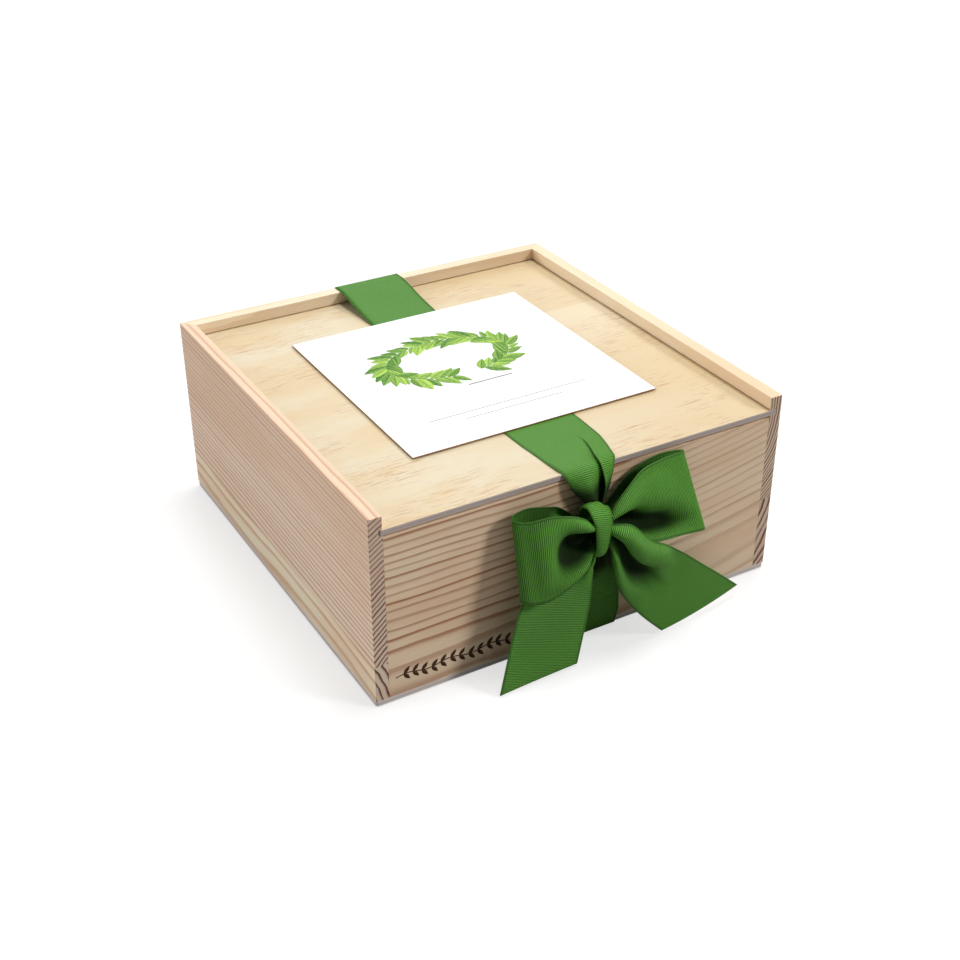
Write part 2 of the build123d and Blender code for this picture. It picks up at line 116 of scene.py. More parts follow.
def spline_weights(stations: int, samples: int, ring: bool = False) -> Array:
    """Weights that carry a row of stations to evenly spread samples of a smooth curve.

    Formula: a Catmull-Rom cubic. At share f between two stations, the four nearest stations weigh
    (-f + 2f^2 - f^3)/2, (2 - 5f^2 + 3f^3)/2, (f + 4f^2 - 3f^3)/2 and (f^3 - f^2)/2. Past its ends
    an open row runs on in a straight line, and a ring goes round.

    Args:
        stations: Number of stations in the row.
        samples: Number of samples on the curve.
        ring: Whether the last station is followed by the first.

    Returns:
        Matrix of samples by stations.
    """
    last = stations if ring else stations - 1
    place = np.linspace(0.0, last, samples, endpoint=not ring)
    first = np.minimum(place.astype(int), last - 1)
    f = place - first
    shares = (
        (-f + 2 * f**2 - f**3) / 2,
        (2 - 5 * f**2 + 3 * f**3) / 2,
        (f + 4 * f**2 - 3 * f**3) / 2,
        (f**3 - f**2) / 2,
    )
    weights = np.zeros((samples, stations + 3))
    for offset, share in enumerate(shares):
        weights[np.arange(samples), first + offset] = share
    inner = weights[:, 1:-2].copy()
    if ring:
        inner[:, -1] += weights[:, 0]
        inner[:, 0] += weights[:, -2]
        inner[:, 1] += weights[:, -1]
        return inner
    inner[:, 0] += 2 * weights[:, 0]
    inner[:, 1] -= weights[:, 0]
    inner[:, -1] += 2 * weights[:, -2]
    inner[:, -2] -= weights[:, -2]
    return inner


def grid_faces(rows: int, columns: int, round_rows: bool = False, round_columns: bool = False) -> Array:
    """Corner numbers of the quads of a grid.

    Args:
        rows: Number of rows.
        columns: Number of columns.
        round_rows: Whether the last row joins the first.
        round_columns: Whether the last column joins the first.

    Returns:
        Four numbers for each quad.
    """
    index = np.arange(rows * columns).reshape(rows, columns)
    if round_rows:
        index = np.vstack([index, index[:1]])
    if round_columns:
        index = np.hstack([index, index[:, :1]])
    quads = [index[:-1, :-1], index[:-1, 1:], index[1:, 1:], index[1:, :-1]]
    return np.stack(quads, axis=-1).reshape(-1, 4)


def mesh_object(name: str, points: Array, faces: Sequence[Sequence[int]], smooth: bool = True) -> Piece:
    """Make an object at the origin from points in metres and faces.

    Args:
        name: Name of the piece.
        points: Points, any shape that ends in three.
        faces: Corner numbers of each face, outward side by the right hand.
        smooth: Whether the faces shade smoothly.

    Returns:
        The new object.
    """
    mesh = bpy.data.meshes.new(name)
    mesh.from_pydata(points.reshape(-1, 3).tolist(), [], [list(map(int, face)) for face in faces])
    mesh.update()
    if smooth:
        mesh.shade_smooth()
    piece = bpy.data.objects.new(name, mesh)
    bpy.context.scene.collection.objects.link(piece)
    return piece


def grid_object(name: str, points: Array, places: Array, round_rows: bool = False) -> Piece:
    """Make an object from a grid of points, with its place on the cloth as a UV map.

    Args:
        name: Name of the piece.
        points: Grid of points in metres, rows by columns by three.
        places: Way across and way along the cloth in metres, one more row where round.
        round_rows: Whether the last row joins the first.

    Returns:
        The new object.
    """
    rows, columns = points.shape[:2]
    piece = mesh_object(name, points, grid_faces(rows, columns, round_rows))
    corner_places = [places[:-1, :-1], places[:-1, 1:], places[1:, 1:], places[1:, :-1]]
    layer = piece.data.uv_layers.new(name="cloth")
    layer.data.foreach_set("uv", np.stack(corner_places, axis=-2).reshape(-1).astype(np.float32))
    return piece


def turn_outward(piece: Piece) -> None:
    """Turn the faces of a closed piece outward.

    Args:
        piece: The piece.
    """
    work = bmesh.new()
    work.from_mesh(piece.data)
    bmesh.ops.recalc_face_normals(work, faces=work.faces)
    work.to_mesh(piece.data)
    work.free()


def lengths_along(points: Array, axis: int) -> Array:
    """Running length of a grid of points along one of its ways, from zero.

    Args:
        points: Grid of points.
        axis: The way to go along.

    Returns:
        Length at each point.
    """
    steps = np.linalg.norm(np.diff(points, axis=axis), axis=-1)
    total = np.cumsum(steps, axis=axis)
    start = np.zeros_like(np.take(total, [0], axis=axis))
    return np.concatenate([start, total], axis=axis)


def store_values(piece: Piece, name: str, values: Array) -> None:
    """Store a named value for each point of a piece."""
    layer = piece.data.attributes.new(name, "FLOAT", "POINT")
    layer.data.foreach_set("value", values.reshape(-1).astype(np.float32))


def thicken(piece: Piece, thickness: float) -> None:
    """Give a sheet its thickness, half to each side.

    Args:
        piece: The sheet.
        thickness: Its thickness in metres.
    """
    solid = piece.modifiers.new("thickness", "SOLIDIFY")
    solid.thickness = thickness
    solid.offset = 0.0


def dress(
    piece: Piece, body: Body, slot: Slot, material: Material, stands_for: Sequence[str] = ()
) -> None:
    """Dress a new piece and place it on its body.

    Args:
        piece: The piece.
        body: Body that it rides on.
        slot: Its material slot; not used.
        material: Its material.
        stands_for: Frame nodes that it replaces.
    """
    piece.data.materials.clear()
    piece.data.materials.append(material)
    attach(piece, body.value)
    if stands_for:
        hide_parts(*stands_for)
    log.info("%s: %d faces, rides on %s", piece.name, len(piece.data.polygons), body.value)


def dress_node(node: str, material: Material) -> None:
    """Give a frame node that stays in sight a better material.

    Args:
        node: The frame node.
        material: Its new material.
    """
    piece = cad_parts[node]
    if not piece.material_slots:
        piece.data.materials.append(material)
    for place in piece.material_slots:
        place.material = material
    log.info("%s: frame node dressed as %s", node, material.name)


# Shader nodes

# Sockets of a Mix node that is set to colours
MIX_FIRST = 6
MIX_SECOND = 7
MIX_RESULT = 2


@dataclass
class Nodes:
    """Short ways to place and join the nodes of one node tree."""

    tree: Tree

    def feed(self, socket: Socket, value: object) -> None:
        """Link a socket into an input, or set the input to a value.

        Args:
            socket: Input to feed.
            value: Output of another node, or a number, vector or colour.
        """
        if isinstance(value, bpy.types.NodeSocket):
            self.tree.links.new(value, socket)
        elif isinstance(value, tuple) and len(value) == 3 and socket.type == "RGBA":
            socket.default_value = (*value, 1.0)
        else:
            socket.default_value = value

    def add(self, kind: str, *values: object, **settings: object) -> Node:
        """Add a node, set its properties and feed its first inputs.

        Args:
            kind: Kind of the node.
            values: What its first inputs get, in order.
            settings: Its properties by name.

        Returns:
            The node.
        """
        node = self.tree.nodes.new(kind)
        for key, value in settings.items():
            setattr(node, key, value)
        for socket, value in zip(node.inputs, values):
            self.feed(socket, value)
        return node

    def fill(self, node: Node, **values: object) -> Node:
        """Feed inputs of a node by their names, with underscores for spaces.

        Args:
            node: The node.
            values: What each input gets.

        Returns:
            The node.
        """
        for key, value in values.items():
            self.feed(node.inputs[key.replace("_", " ")], value)
        return node

    def group(self, tree: Tree, **values: object) -> bpy.types.bpy_prop_collection:
        """Outputs by name of a node group that is placed with those inputs."""
        return self.fill(self.add("ShaderNodeGroup", node_tree=tree), **values).outputs

    def math(self, operation: str, *values: object, clamp: bool = False) -> Socket:
        """Result of a Math node."""
        return self.add("ShaderNodeMath", *values, operation=operation, use_clamp=clamp).outputs[0]

    def plus(self, first: object, second: object) -> Socket:
        """Sum of two values."""
        return self.math("ADD", first, second)

    def minus(self, first: object, second: object) -> Socket:
        """First value less the second."""
        return self.math("SUBTRACT", first, second)

    def times(self, first: object, second: object, clamp: bool = False) -> Socket:
        """Product of two values, held between 0 and 1 where asked."""
        return self.math("MULTIPLY", first, second, clamp=clamp)

    def times_plus(self, value: object, factor: object, added: object, clamp: bool = False) -> Socket:
        """Value times a factor plus another value, held between 0 and 1 where asked."""
        return self.math("MULTIPLY_ADD", value, factor, added, clamp=clamp)

    def vector(self, operation: str, *values: object) -> Socket:
        """Vector result of a Vector Math node."""
        return self.add("ShaderNodeVectorMath", *values, operation=operation).outputs["Vector"]

    def scaled(self, vector: Socket, factor: float) -> Socket:
        """Vector times one number."""
        return self.vector("MULTIPLY", vector, (factor, factor, factor))

    def split(self, vector: Socket) -> tuple[Socket, ...]:
        """The three parts of a vector."""
        return tuple(self.add("ShaderNodeSeparateXYZ", vector).outputs)

    def join(self, x: object, y: object, z: object) -> Socket:
        """Vector from three parts."""
        return self.add("ShaderNodeCombineXYZ", x, y, z).outputs[0]

    def triple(self, value: Socket) -> Socket:
        """Vector that has one value in all three parts."""
        return self.join(value, value, value)

    def noise(self, vector: object, scale: float, detail: float = 2.0, roughness: float = 0.5) -> Socket:
        """Noise from 0 to 1 over a vector."""
        node = self.add("ShaderNodeTexNoise", vector)
        return self.fill(node, Scale=scale, Detail=detail, Roughness=roughness).outputs["Fac"]

    def stretched(self, vector: Socket, scales: Point, detail: float, roughness: float = 0.5) -> Socket:
        """Noise from 0 to 1 over a vector with its own scale along each axis."""
        return self.noise(self.vector("MULTIPLY", vector, scales), 1.0, detail, roughness)

    def scatter(self, value: object) -> Socket:
        """Random number from 0 to 1 for each value."""
        node = self.add("ShaderNodeTexWhiteNoise", noise_dimensions="1D")
        return self.fill(node, W=value).outputs["Value"]

    def remap(
        self, value: object, low: object, high: object, to_low: object = 0.0, to_high: object = 1.0
    ) -> Socket:
        """Value carried smoothly from one range to another, and held at its ends."""
        ends = (low, high, to_low, to_high)
        return self.add("ShaderNodeMapRange", value, *ends, interpolation_type="SMOOTHSTEP").outputs[0]

    def mix(self, factor: object, first: object, second: object) -> Socket:
        """Colour between two colours.

        Args:
            factor: Share of the second colour.
            first: First colour.
            second: Second colour.

        Returns:
            The mixed colour.
        """
        node = self.add("ShaderNodeMix", factor, data_type="RGBA")
        self.feed(node.inputs[MIX_FIRST], first)
        self.feed(node.inputs[MIX_SECOND], second)
        return node.outputs[MIX_RESULT]

    def steep(self, normal: Socket) -> Socket:
        """Share from 0 on level faces to 1 on upright ones."""
        return self.remap(self.math("ABSOLUTE", self.split(normal)[2]), 0.5, 0.85, 1.0, 0.0)

    def bump(self, height: Socket, distance: float, strength: float) -> Socket:
        """Normal of a surface with that height in metres over it."""
        node = self.add("ShaderNodeBump")
        return self.fill(node, Strength=strength, Distance=distance, Height=height).outputs["Normal"]

    def paint(
        self, shader: Node, colour: Socket, height: Socket, depth: float, strength: float
    ) -> None:
        """Feed a Principled shader its colour and its bump, with the bump's depth in millimetres."""
        self.fill(shader, Base_Color=colour, Normal=self.bump(height, depth * MM, strength))


def new_group(
    name: str, inputs: dict[str, str], outputs: dict[str, str]
) -> tuple[Nodes, dict[str, Socket], Node]:
    """Start a shader node group.

    Args:
        name: Name of the group.
        inputs: Socket kinds by input name.
        outputs: Socket kinds by output name.

    Returns:
        The group's nodes, its inputs by name and its output node.
    """
    tree = bpy.data.node_groups.new(name, "ShaderNodeTree")
    for label, kind in inputs.items():
        tree.interface.new_socket(name=label, in_out="INPUT", socket_type=f"NodeSocket{kind}")
    for label, kind in outputs.items():
        tree.interface.new_socket(name=label, in_out="OUTPUT", socket_type=f"NodeSocket{kind}")
    nodes = Nodes(tree)
    entry = nodes.add("NodeGroupInput")
    return nodes, {socket.name: socket for socket in entry.outputs}, nodes.add("NodeGroupOutput")


def new_material(name: str, roughness: float, specular: float = 0.5) -> tuple[Material, Nodes, Node]:
    """Start a material.

    Args:
        name: Name of the material.
        roughness: Roughness where nothing is linked.
        specular: Specular level.

    Returns:
        The material, its nodes and its Principled shader.
    """
    material = bpy.data.materials.new(name)
    material.use_nodes = True
    nodes = Nodes(material.node_tree)
    shader = next(node for node in material.node_tree.nodes if node.type == "BSDF_PRINCIPLED")
    nodes.fill(shader, Roughness=roughness, Specular_IOR_Level=specular)
    return material, nodes, shader


def build_ring_group() -> Tree:
    """Group for growth rings of softwood.

    Formula: the way from the pith, bent by a slow and a fine noise, is cut into rings one pitch
    wide. Each ring darkens slowly to its late wood and ends sharply, by a share that differs from
    ring to ring.

    Returns:
        The group.
    """
    nodes, given, out = new_group(
        "growth rings",
        {"Place": "Vector", "Pitch": "Float", "Wave": "Float", "Sharp": "Float", "Seed": "Float"},
        {"Late wood": "Float", "Fibre": "Float", "Tone": "Float"},
    )
    ripple_share, uneven_share = 0.35, 0.9
    pale_until, darkest, dark_until = 0.3, 0.86, 0.94
    x, _, z = nodes.split(given["Place"])
    seeded = nodes.vector("ADD", given["Place"], nodes.triple(given["Seed"]))
    slow = nodes.stretched(seeded, (0.03, 0.006, 0.03), 2.0)
    fine = nodes.stretched(seeded, (0.25, 0.03, 0.25), 2.0)
    radius = nodes.math("SQRT", nodes.plus(nodes.times(x, x), nodes.times(z, z)))
    bend = nodes.times(nodes.minus(slow, 0.5), given["Wave"])
    ripple = nodes.times(nodes.minus(fine, 0.5), nodes.times(given["Pitch"], ripple_share))
    turns = nodes.math("DIVIDE", nodes.plus(radius, nodes.plus(bend, ripple)), given["Pitch"])
    uneven = nodes.noise(nodes.join(nodes.times(turns, 0.3), given["Seed"], 0.0), 1.0, 1.0)
    turns = nodes.plus(turns, nodes.times(uneven, uneven_share))
    share = nodes.math("FRACT", turns)
    chance = nodes.scatter(nodes.plus(nodes.math("FLOOR", turns), given["Seed"]))
    dark = nodes.times_plus(chance, 0.5, 0.5)
    rise = nodes.math("POWER", nodes.remap(share, pale_until, darkest), given["Sharp"])
    late = nodes.times(rise, nodes.remap(share, dark_until, 1.0, 1.0, 0.0))
    fibre = nodes.stretched(seeded, (5.0, 0.12, 5.0), 3.0, 0.6)
    tone = nodes.stretched(seeded, (0.05, 0.009, 0.05), 3.0)
    nodes.fill(out, Late_wood=nodes.times(late, dark), Fibre=fibre, Tone=tone)
    return nodes.tree


def build_veneer_group() -> Tree:
    """Group for rotary-cut veneer.

    Formula: broad bands of tone lie along the grain. Short dark flecks are the peaks of noise that
    is stretched sixteen times along the grain, kept where a slow noise is high.

    Returns:
        The group.
    """
    nodes, given, out = new_group(
        "peeled veneer",
        {"Place": "Vector", "Seed": "Float"},
        {"Band": "Float", "Fleck": "Float", "Fibre": "Float"},
    )
    warp_reach = 9.0
    seeded = nodes.vector("ADD", given["Place"], nodes.triple(given["Seed"]))
    warp = nodes.stretched(seeded, (0.02, 0.02, 0.02), 2.0)
    x, y, z = nodes.split(seeded)
    bent = nodes.join(x, nodes.times_plus(warp, warp_reach, y), z)
    band = nodes.stretched(bent, (0.011, 0.032, 0.05), 4.0, 0.62)
    streak = nodes.stretched(bent, (0.075, 1.2, 0.2), 3.0, 0.65)
    where = nodes.stretched(bent, (0.018, 0.035, 0.05), 2.0)
    fleck = nodes.times(nodes.remap(streak, 0.54, 0.62), nodes.remap(where, 0.44, 0.58))
    fibre = nodes.stretched(seeded, (0.2, 5.0, 5.0), 3.0, 0.6)
    nodes.fill(out, Band=band, Fleck=fleck, Fibre=fibre)
    return nodes.tree


def build_rib_group() -> Tree:
    """Group for the ribs of grosgrain ribbon.

    Formula: the height over one rib is the absolute sine of half a turn a rib, so the crests are
    round and the grooves sharp. Near either selvedge the ribs fade into a flat woven edge, and a
    shallow channel lies along it.

    Returns:
        The group.
    """
    nodes, given, out = new_group(
        "grosgrain ribs",
        {"Place": "Vector", "Rib": "Float", "Width": "Float"},
        {"Height": "Float", "Selvedge": "Float", "Yarn": "Float"},
    )
    shiver_reach, yarn_height, channel_depth, selvedge_loss = 0.25, 0.25, 0.6, 0.65
    selvedge_end, ribs_start, channel_middle, channel_end = 0.5, 0.9, 0.85, 1.2
    across, along, _ = nodes.split(nodes.scaled(given["Place"], MM_PER_METRE))
    flat = nodes.join(across, along, 0.0)
    shiver = nodes.stretched(flat, (0.4, 0.8, 0.0), 2.0)
    yarn = nodes.stretched(flat, (4.5, 1.2, 0.0), 2.0)
    line = nodes.plus(along, nodes.times(shiver, shiver_reach))
    phase = nodes.times(nodes.math("DIVIDE", line, given["Rib"]), math.pi)
    crest = nodes.math("ABSOLUTE", nodes.math("SINE", phase))
    inset = nodes.math("MINIMUM", across, nodes.minus(given["Width"], across))
    edge = nodes.remap(inset, selvedge_end, ribs_start, 1.0, 0.0)
    leaving = nodes.remap(inset, channel_middle, channel_end, 1.0, 0.0)
    channel = nodes.times(nodes.remap(inset, 0.6, channel_middle), leaving)
    ribs = nodes.times(crest, nodes.times_plus(edge, -selvedge_loss, 1.0))
    height = nodes.minus(nodes.times_plus(yarn, yarn_height, ribs), nodes.times(channel, channel_depth))
    nodes.fill(out, Height=height, Selvedge=edge, Yarn=yarn)
    return nodes.tree


def build_fibre_group() -> Tree:
    """Group for matted fibre.

    Formula: two stretched noises lie crosswise, the higher one counts, and a lumpy one is its own
    output.

    Returns:
        The group.
    """
    nodes, given, out = new_group(
        "matted fibre", {"Place": "Vector", "Size": "Float"}, {"Strand": "Float", "Lump": "Float"}
    )
    place = nodes.vector("DIVIDE", given["Place"], nodes.triple(given["Size"]))
    first = nodes.stretched(place, (4.0, 0.6, 0.6), 3.0, 0.7)
    second = nodes.stretched(place, (0.5, 0.7, 4.5), 3.0, 0.7)
    lump = nodes.noise(place, 0.6, 4.0, 0.6)
    nodes.fill(out, Strand=nodes.math("MAXIMUM", first, second), Lump=lump)
    return nodes.tree


@dataclass
class Groups:
    """The shared node groups, each built once."""

    rings: Tree = field(default_factory=build_ring_group)
    veneer: Tree = field(default_factory=build_veneer_group)
    ribs: Tree = field(default_factory=build_rib_group)
    fibre: Tree = field(default_factory=build_fibre_group)


def place_in_mm(nodes: Nodes) -> tuple[Socket, Socket]:
    """Object coordinates in millimetres, and the surface's normal on the object."""
    given = nodes.add("ShaderNodeTexCoord").outputs
    return nodes.scaled(given["Object"], MM_PER_METRE), given["Normal"]


def shaded(colour: Colour, *shares: float) -> Colour:
    """Colour times a share for each part, or one share for all, and held at one."""
    each = shares if len(shares) == len(colour) else shares * len(colour)
    return tuple(min(1.0, part * share) for part, share in zip(colour, each))


@dataclass(frozen=True)
class PineFinish:
    """Sanded, unfinished pine cut from one side of a trunk.

    Attributes:
        name: Name of the finish.
        grain: Direction of the fibres.
        pith: A point of the trunk's middle line, in millimetres in the frame.
        pitch: Width of a growth ring in millimetres.
        seed: Picks the board's own figure.
        lean: How the pith line rises and drifts outward along the board, in degrees.
        early: Colour of the pale wood.
        late: Colour of the dark line that ends a ring.
        end_late: Colour of that line on the end grain.
        end_tint: Colour that the pale wood nears on the end grain.
        contrast: Strength of the dark lines on the faces.
        end_contrast: Strength of the dark lines on the end grain.
        wave: How far the rings wander, in millimetres.
        sharp: Power of a ring's darkening, whose line is thinner the higher it is.
        bow: Place along the board in millimetres past which the pith line bends up, and how fast.
        fade: Two places along the board between which the dark lines weaken, and to what share.
        drift: How fast the wood pales down the board, as a share a millimetre.
        drift_from: Height in millimetres below which the drift adds and above which it takes.
        line_drift: Share of the drift by which the dark lines grow stronger.
    """

    name: str
    grain: Grain
    pith: Point
    pitch: float
    seed: float
    lean: tuple[float, float] = (0.0, 0.0)
    early: Colour = (0.88, 0.73, 0.54)
    late: Colour = (0.44, 0.20, 0.12)
    end_late: Colour = (0.17, 0.06, 0.04)
    end_tint: Colour = (0.60, 0.45, 0.38)
    contrast: float = 0.8
    end_contrast: float = 1.5
    wave: float = 7.0
    sharp: float = 2.6
    bow: tuple[float, float] = (0.0, 0.0)
    fade: Optional[tuple[float, float, float]] = None
    drift: float = 0.0
    drift_from: float = 60.0
    line_drift: float = 0.25

    def in_trunk(self, nodes: Nodes, place: Socket) -> tuple[Socket, Socket]:
        """Place measured from the pith line, and the way along the board.

        Formula: the way up and the way out each lose the way along times the tangent of their lean,
        and the way up also loses the bow's rate times the square of the way past its start.

        Args:
            nodes: Nodes of the material.
            place: Place in the frame in millimetres.

        Returns:
            Vector of the ways out, along and up, and the way along by itself.
        """
        x, y, z = nodes.split(nodes.vector("SUBTRACT", place, self.pith))
        out, along = (x, y) if self.grain is Grain.ALONG_Y else (y, x)
        lean_up, lean_out = (math.tan(math.radians(angle)) for angle in self.lean)
        up = nodes.times_plus(along, -lean_up, z)
        out = nodes.times_plus(along, -lean_out, out)
        past = nodes.math("MAXIMUM", nodes.minus(along, self.bow[0]), 0.0)
        up = nodes.times_plus(nodes.times(past, past), -self.bow[1], up)
        return nodes.join(out, along, up), along

    def build(self, groups: Groups) -> Material:
        """Build the material.

        Args:
            groups: The shared node groups.

        Returns:
            The material.
        """
        material, nodes, shader = new_material(self.name, roughness=0.62, specular=0.3)
        place, normal = place_in_mm(nodes)
        trunk, along = self.in_trunk(nodes, place)
        figure = {"Pitch": self.pitch, "Wave": self.wave, "Sharp": self.sharp, "Seed": self.seed}
        rings = nodes.group(groups.rings, Place=trunk, **figure)
        facing_x, facing_y, _ = nodes.split(normal)
        lengthwise = facing_y if self.grain is Grain.ALONG_Y else facing_x
        end = nodes.remap(nodes.math("ABSOLUTE", lengthwise), 0.5, 0.9)
        strength = nodes.times_plus(end, self.end_contrast - self.contrast, self.contrast)
        if self.fade is not None:
            start, stop, share = self.fade
            strength = nodes.times(strength, nodes.remap(along, start, stop, 1.0, share))
        dark = nodes.times(rings["Late wood"], strength, clamp=True)
        tone = nodes.remap(rings["Tone"], 0.35, 0.65)
        if self.drift:
            above = nodes.minus(nodes.split(place)[2], self.drift_from)
            tone = nodes.times_plus(above, -self.drift, tone, clamp=True)
            bolder = nodes.times_plus(above, -self.drift * self.line_drift, 1.0)
            dark = nodes.times(dark, bolder, clamp=True)
        ground = nodes.mix(tone, shaded(self.early, 0.98, 0.90, 0.84), shaded(self.early, 1.06))
        ground = nodes.mix(nodes.times(end, 0.5), ground, self.end_tint)
        ground = nodes.mix(nodes.remap(rings["Fibre"], 0.3, 0.7, 0.16, 0.0), ground, self.late)
        line = nodes.mix(end, self.late, self.end_late)
        height = nodes.times_plus(rings["Late wood"], 0.5, rings["Fibre"])
        nodes.paint(shader, nodes.mix(dark, ground, line), height, depth=0.06, strength=0.7)
        return material


@dataclass(frozen=True)
class PlywoodFinish:
    """Three-ply board of peeled pine: pale faces with short flecks, and layered grey-brown edges.

    Attributes:
        name: Name of the finish.
        seed: Picks the board's own figure.
        face: Colour of the face.
        fleck: Colour of its flecks and fibres.
        edge: Colour of the sawn edge.
        sawn: Colour of the saw's marks on that edge.
        joint_y: Place in millimetres of the joint between two sheets of the face, or None.
        right: Colour that a jointed face nears on its right.
        patch: Colour of the pale patch in front of the joint.
    """

    name: str
    seed: float
    face: Colour = (0.735, 0.635, 0.44)
    fleck: Colour = (0.50, 0.29, 0.15)
    edge: Colour = (0.56, 0.47, 0.44)
    sawn: Colour = (0.60, 0.50, 0.42)
    joint_y: Optional[float] = None
    right: Colour = (0.71, 0.555, 0.325)
    patch: Colour = (0.79, 0.69, 0.50)

    def jointed(self, nodes: Nodes, face: Socket, place: Socket) -> Socket:
        """Face that warms to the right and is paler on the right just in front of its joint.

        Args:
            nodes: Nodes of the material.
            face: Colour of the face so far.
            place: Place in the frame in millimetres.

        Returns:
            Colour of the jointed face.
        """
        x, y, _ = nodes.split(place)
        face = nodes.mix(nodes.remap(x, -70.0, 90.0, 0.0, 0.7), face, self.right)
        ahead = nodes.minus(self.joint_y, y)
        near = nodes.times(nodes.remap(ahead, 0.0, 0.6), nodes.remap(ahead, 10.0, 75.0, 1.0, 0.0))
        patch = nodes.times(near, nodes.remap(x, -30.0, 30.0))
        return nodes.mix(nodes.times(patch, 0.75), face, self.patch)

    def build(self, groups: Groups, low: float, thickness: float) -> Material:
        """Build the material.

        Args:
            groups: The shared node groups.
            low: Height of the board's underside in millimetres.
            thickness: Thickness of the board in millimetres.

        Returns:
            The material.
        """
        material, nodes, shader = new_material(self.name, roughness=0.5, specular=0.35)
        place, normal = place_in_mm(nodes)
        veneer = nodes.group(groups.veneer, Place=place, Seed=self.seed)
        pale, warm = shaded(self.face, 1.01, 1.05, 1.13), shaded(self.face, 0.98, 0.91, 0.82)
        face = nodes.mix(nodes.remap(veneer["Band"], 0.36, 0.64), pale, warm)
        if self.joint_y is not None:
            face = self.jointed(nodes, face, place)
        face = nodes.mix(nodes.remap(veneer["Fibre"], 0.3, 0.75, 0.10, 0.0), face, self.fleck)
        face = nodes.mix(nodes.times(veneer["Fleck"], 0.62), face, self.fleck)
        layer = nodes.math("DIVIDE", nodes.minus(nodes.split(place)[2], low), thickness)
        core = nodes.remap(nodes.math("ABSOLUTE", nodes.minus(layer, 0.5)), 0.2, 0.24, 1.0, 0.0)
        marks = nodes.stretched(place, (1.4, 1.4, 5.0), 3.0, 0.7)
        rim = nodes.mix(core, self.edge, shaded(self.edge, 0.82))
        rim = nodes.mix(nodes.remap(marks, 0.35, 0.7, 0.0, 0.35), rim, self.sawn)
        height = nodes.minus(veneer["Fibre"], nodes.times(veneer["Fleck"], 0.8))
        colour = nodes.mix(nodes.steep(normal), face, rim)
        nodes.paint(shader, colour, height, depth=0.04, strength=0.6)
        return material


@dataclass(frozen=True)
class RibbonFinish:
    """Dyed polyester grosgrain: round ribs across the ribbon and a flat woven selvedge.

    Attributes:
        name: Name of the finish.
        colour: Colour of a rib's crest.
        groove: Colour of the painted shade between the ribs, which the cloth nears where the ribs are low.
        painted_shade_colour: Colour of the painted shade that the cloth nears in its folds and where it lies
            out of the light.
        painted_shade_limit: Greatest share of that painted shade colour.
        roughness: Roughness where there is no painted shade, and from 0.6 of painted shade upward.
        rib: Width of a rib in millimetres.
        width: Width of the ribbon in millimetres.
    """

    name: str = "grosgrain"
    colour: Colour = (0.115, 0.357, 0.041)
    groove: Colour = (0.009, 0.045, 0.005)
    painted_shade_colour: Colour = (0.003, 0.010, 0.001)
    painted_shade_limit: float = 0.94
    roughness: tuple[float, float] = (0.45, 0.85)
    rib: float = 0.85
    width: float = 40.0

    def build(self, groups: Groups) -> Material:
        """Build the material from the cloth's own place on the ribbon and the painted shade stored on it.

        Args:
            groups: The shared node groups.

        Returns:
            The material.
        """
        material, nodes, shader = new_material(self.name, self.roughness[0], specular=0.22)
        cloth = nodes.add("ShaderNodeUVMap", uv_map="cloth").outputs["UV"]
        weave = nodes.group(groups.ribs, Place=cloth, Rib=self.rib, Width=self.width)
        pale = shaded(self.colour, 1.25)
        # Painted shade between the ribs: the colour darkens where the rib height is low; real yarn tone and
        # selvedge follow
        yarn_and_groove_shade = nodes.mix(nodes.remap(weave["Height"], 0.3, 1.0), self.groove, self.colour)
        yarn_and_groove_shade = nodes.mix(nodes.remap(weave["Yarn"], 0.45, 0.8, 0.0, 0.35), yarn_and_groove_shade, pale)
        yarn_and_groove_shade = nodes.mix(nodes.times(weave["Selvedge"], 0.3), yarn_and_groove_shade, pale)
        # Painted shade: the stored share darkens the colour in the folds and where the cloth lies out of the
        # light
        painted_shade = nodes.add("ShaderNodeAttribute", attribute_name="painted_shade").outputs["Fac"]
        painted_shade_amount = nodes.remap(painted_shade, 0.0, 1.0, 0.0, self.painted_shade_limit)
        rough = nodes.remap(painted_shade, 0.0, 0.6, *self.roughness)
        colour = nodes.mix(painted_shade_amount, yarn_and_groove_shade, self.painted_shade_colour)
        nodes.paint(shader, colour, weave["Height"], depth=0.16, strength=1.0)
        nodes.fill(shader, Roughness=rough, Sheen_Weight=0.06, Sheen_Roughness=0.4)
        nodes.fill(shader, Sheen_Tint=(0.45, 0.9, 0.2))
        return material


@dataclass(frozen=True)
class PaperFinish:
    """Paper or board with a faint uneven tooth, and edges of a set colour; on the card that colour is partly
    painted shadow.
    """

    name: str
    colour: Colour
    edge: Colour
    roughness: float = 0.6

    def build(self, groups: Groups) -> Material:
        """Build the material.

        Args:
            groups: The shared node groups.

        Returns:
            The material.
        """
        material, nodes, shader = new_material(self.name, self.roughness, specular=0.35)
        place, normal = place_in_mm(nodes)
        tooth = nodes.group(groups.fibre, Place=place, Size=0.5)
        dusk = shaded(self.colour, 0.985)
        sheet = nodes.mix(nodes.remap(tooth["Lump"], 0.35, 0.65), dusk, self.colour)
        colour = nodes.mix(nodes.steep(normal), sheet, self.edge)
        nodes.paint(shader, colour, tooth["Strand"], depth=0.015, strength=0.5)
        return material


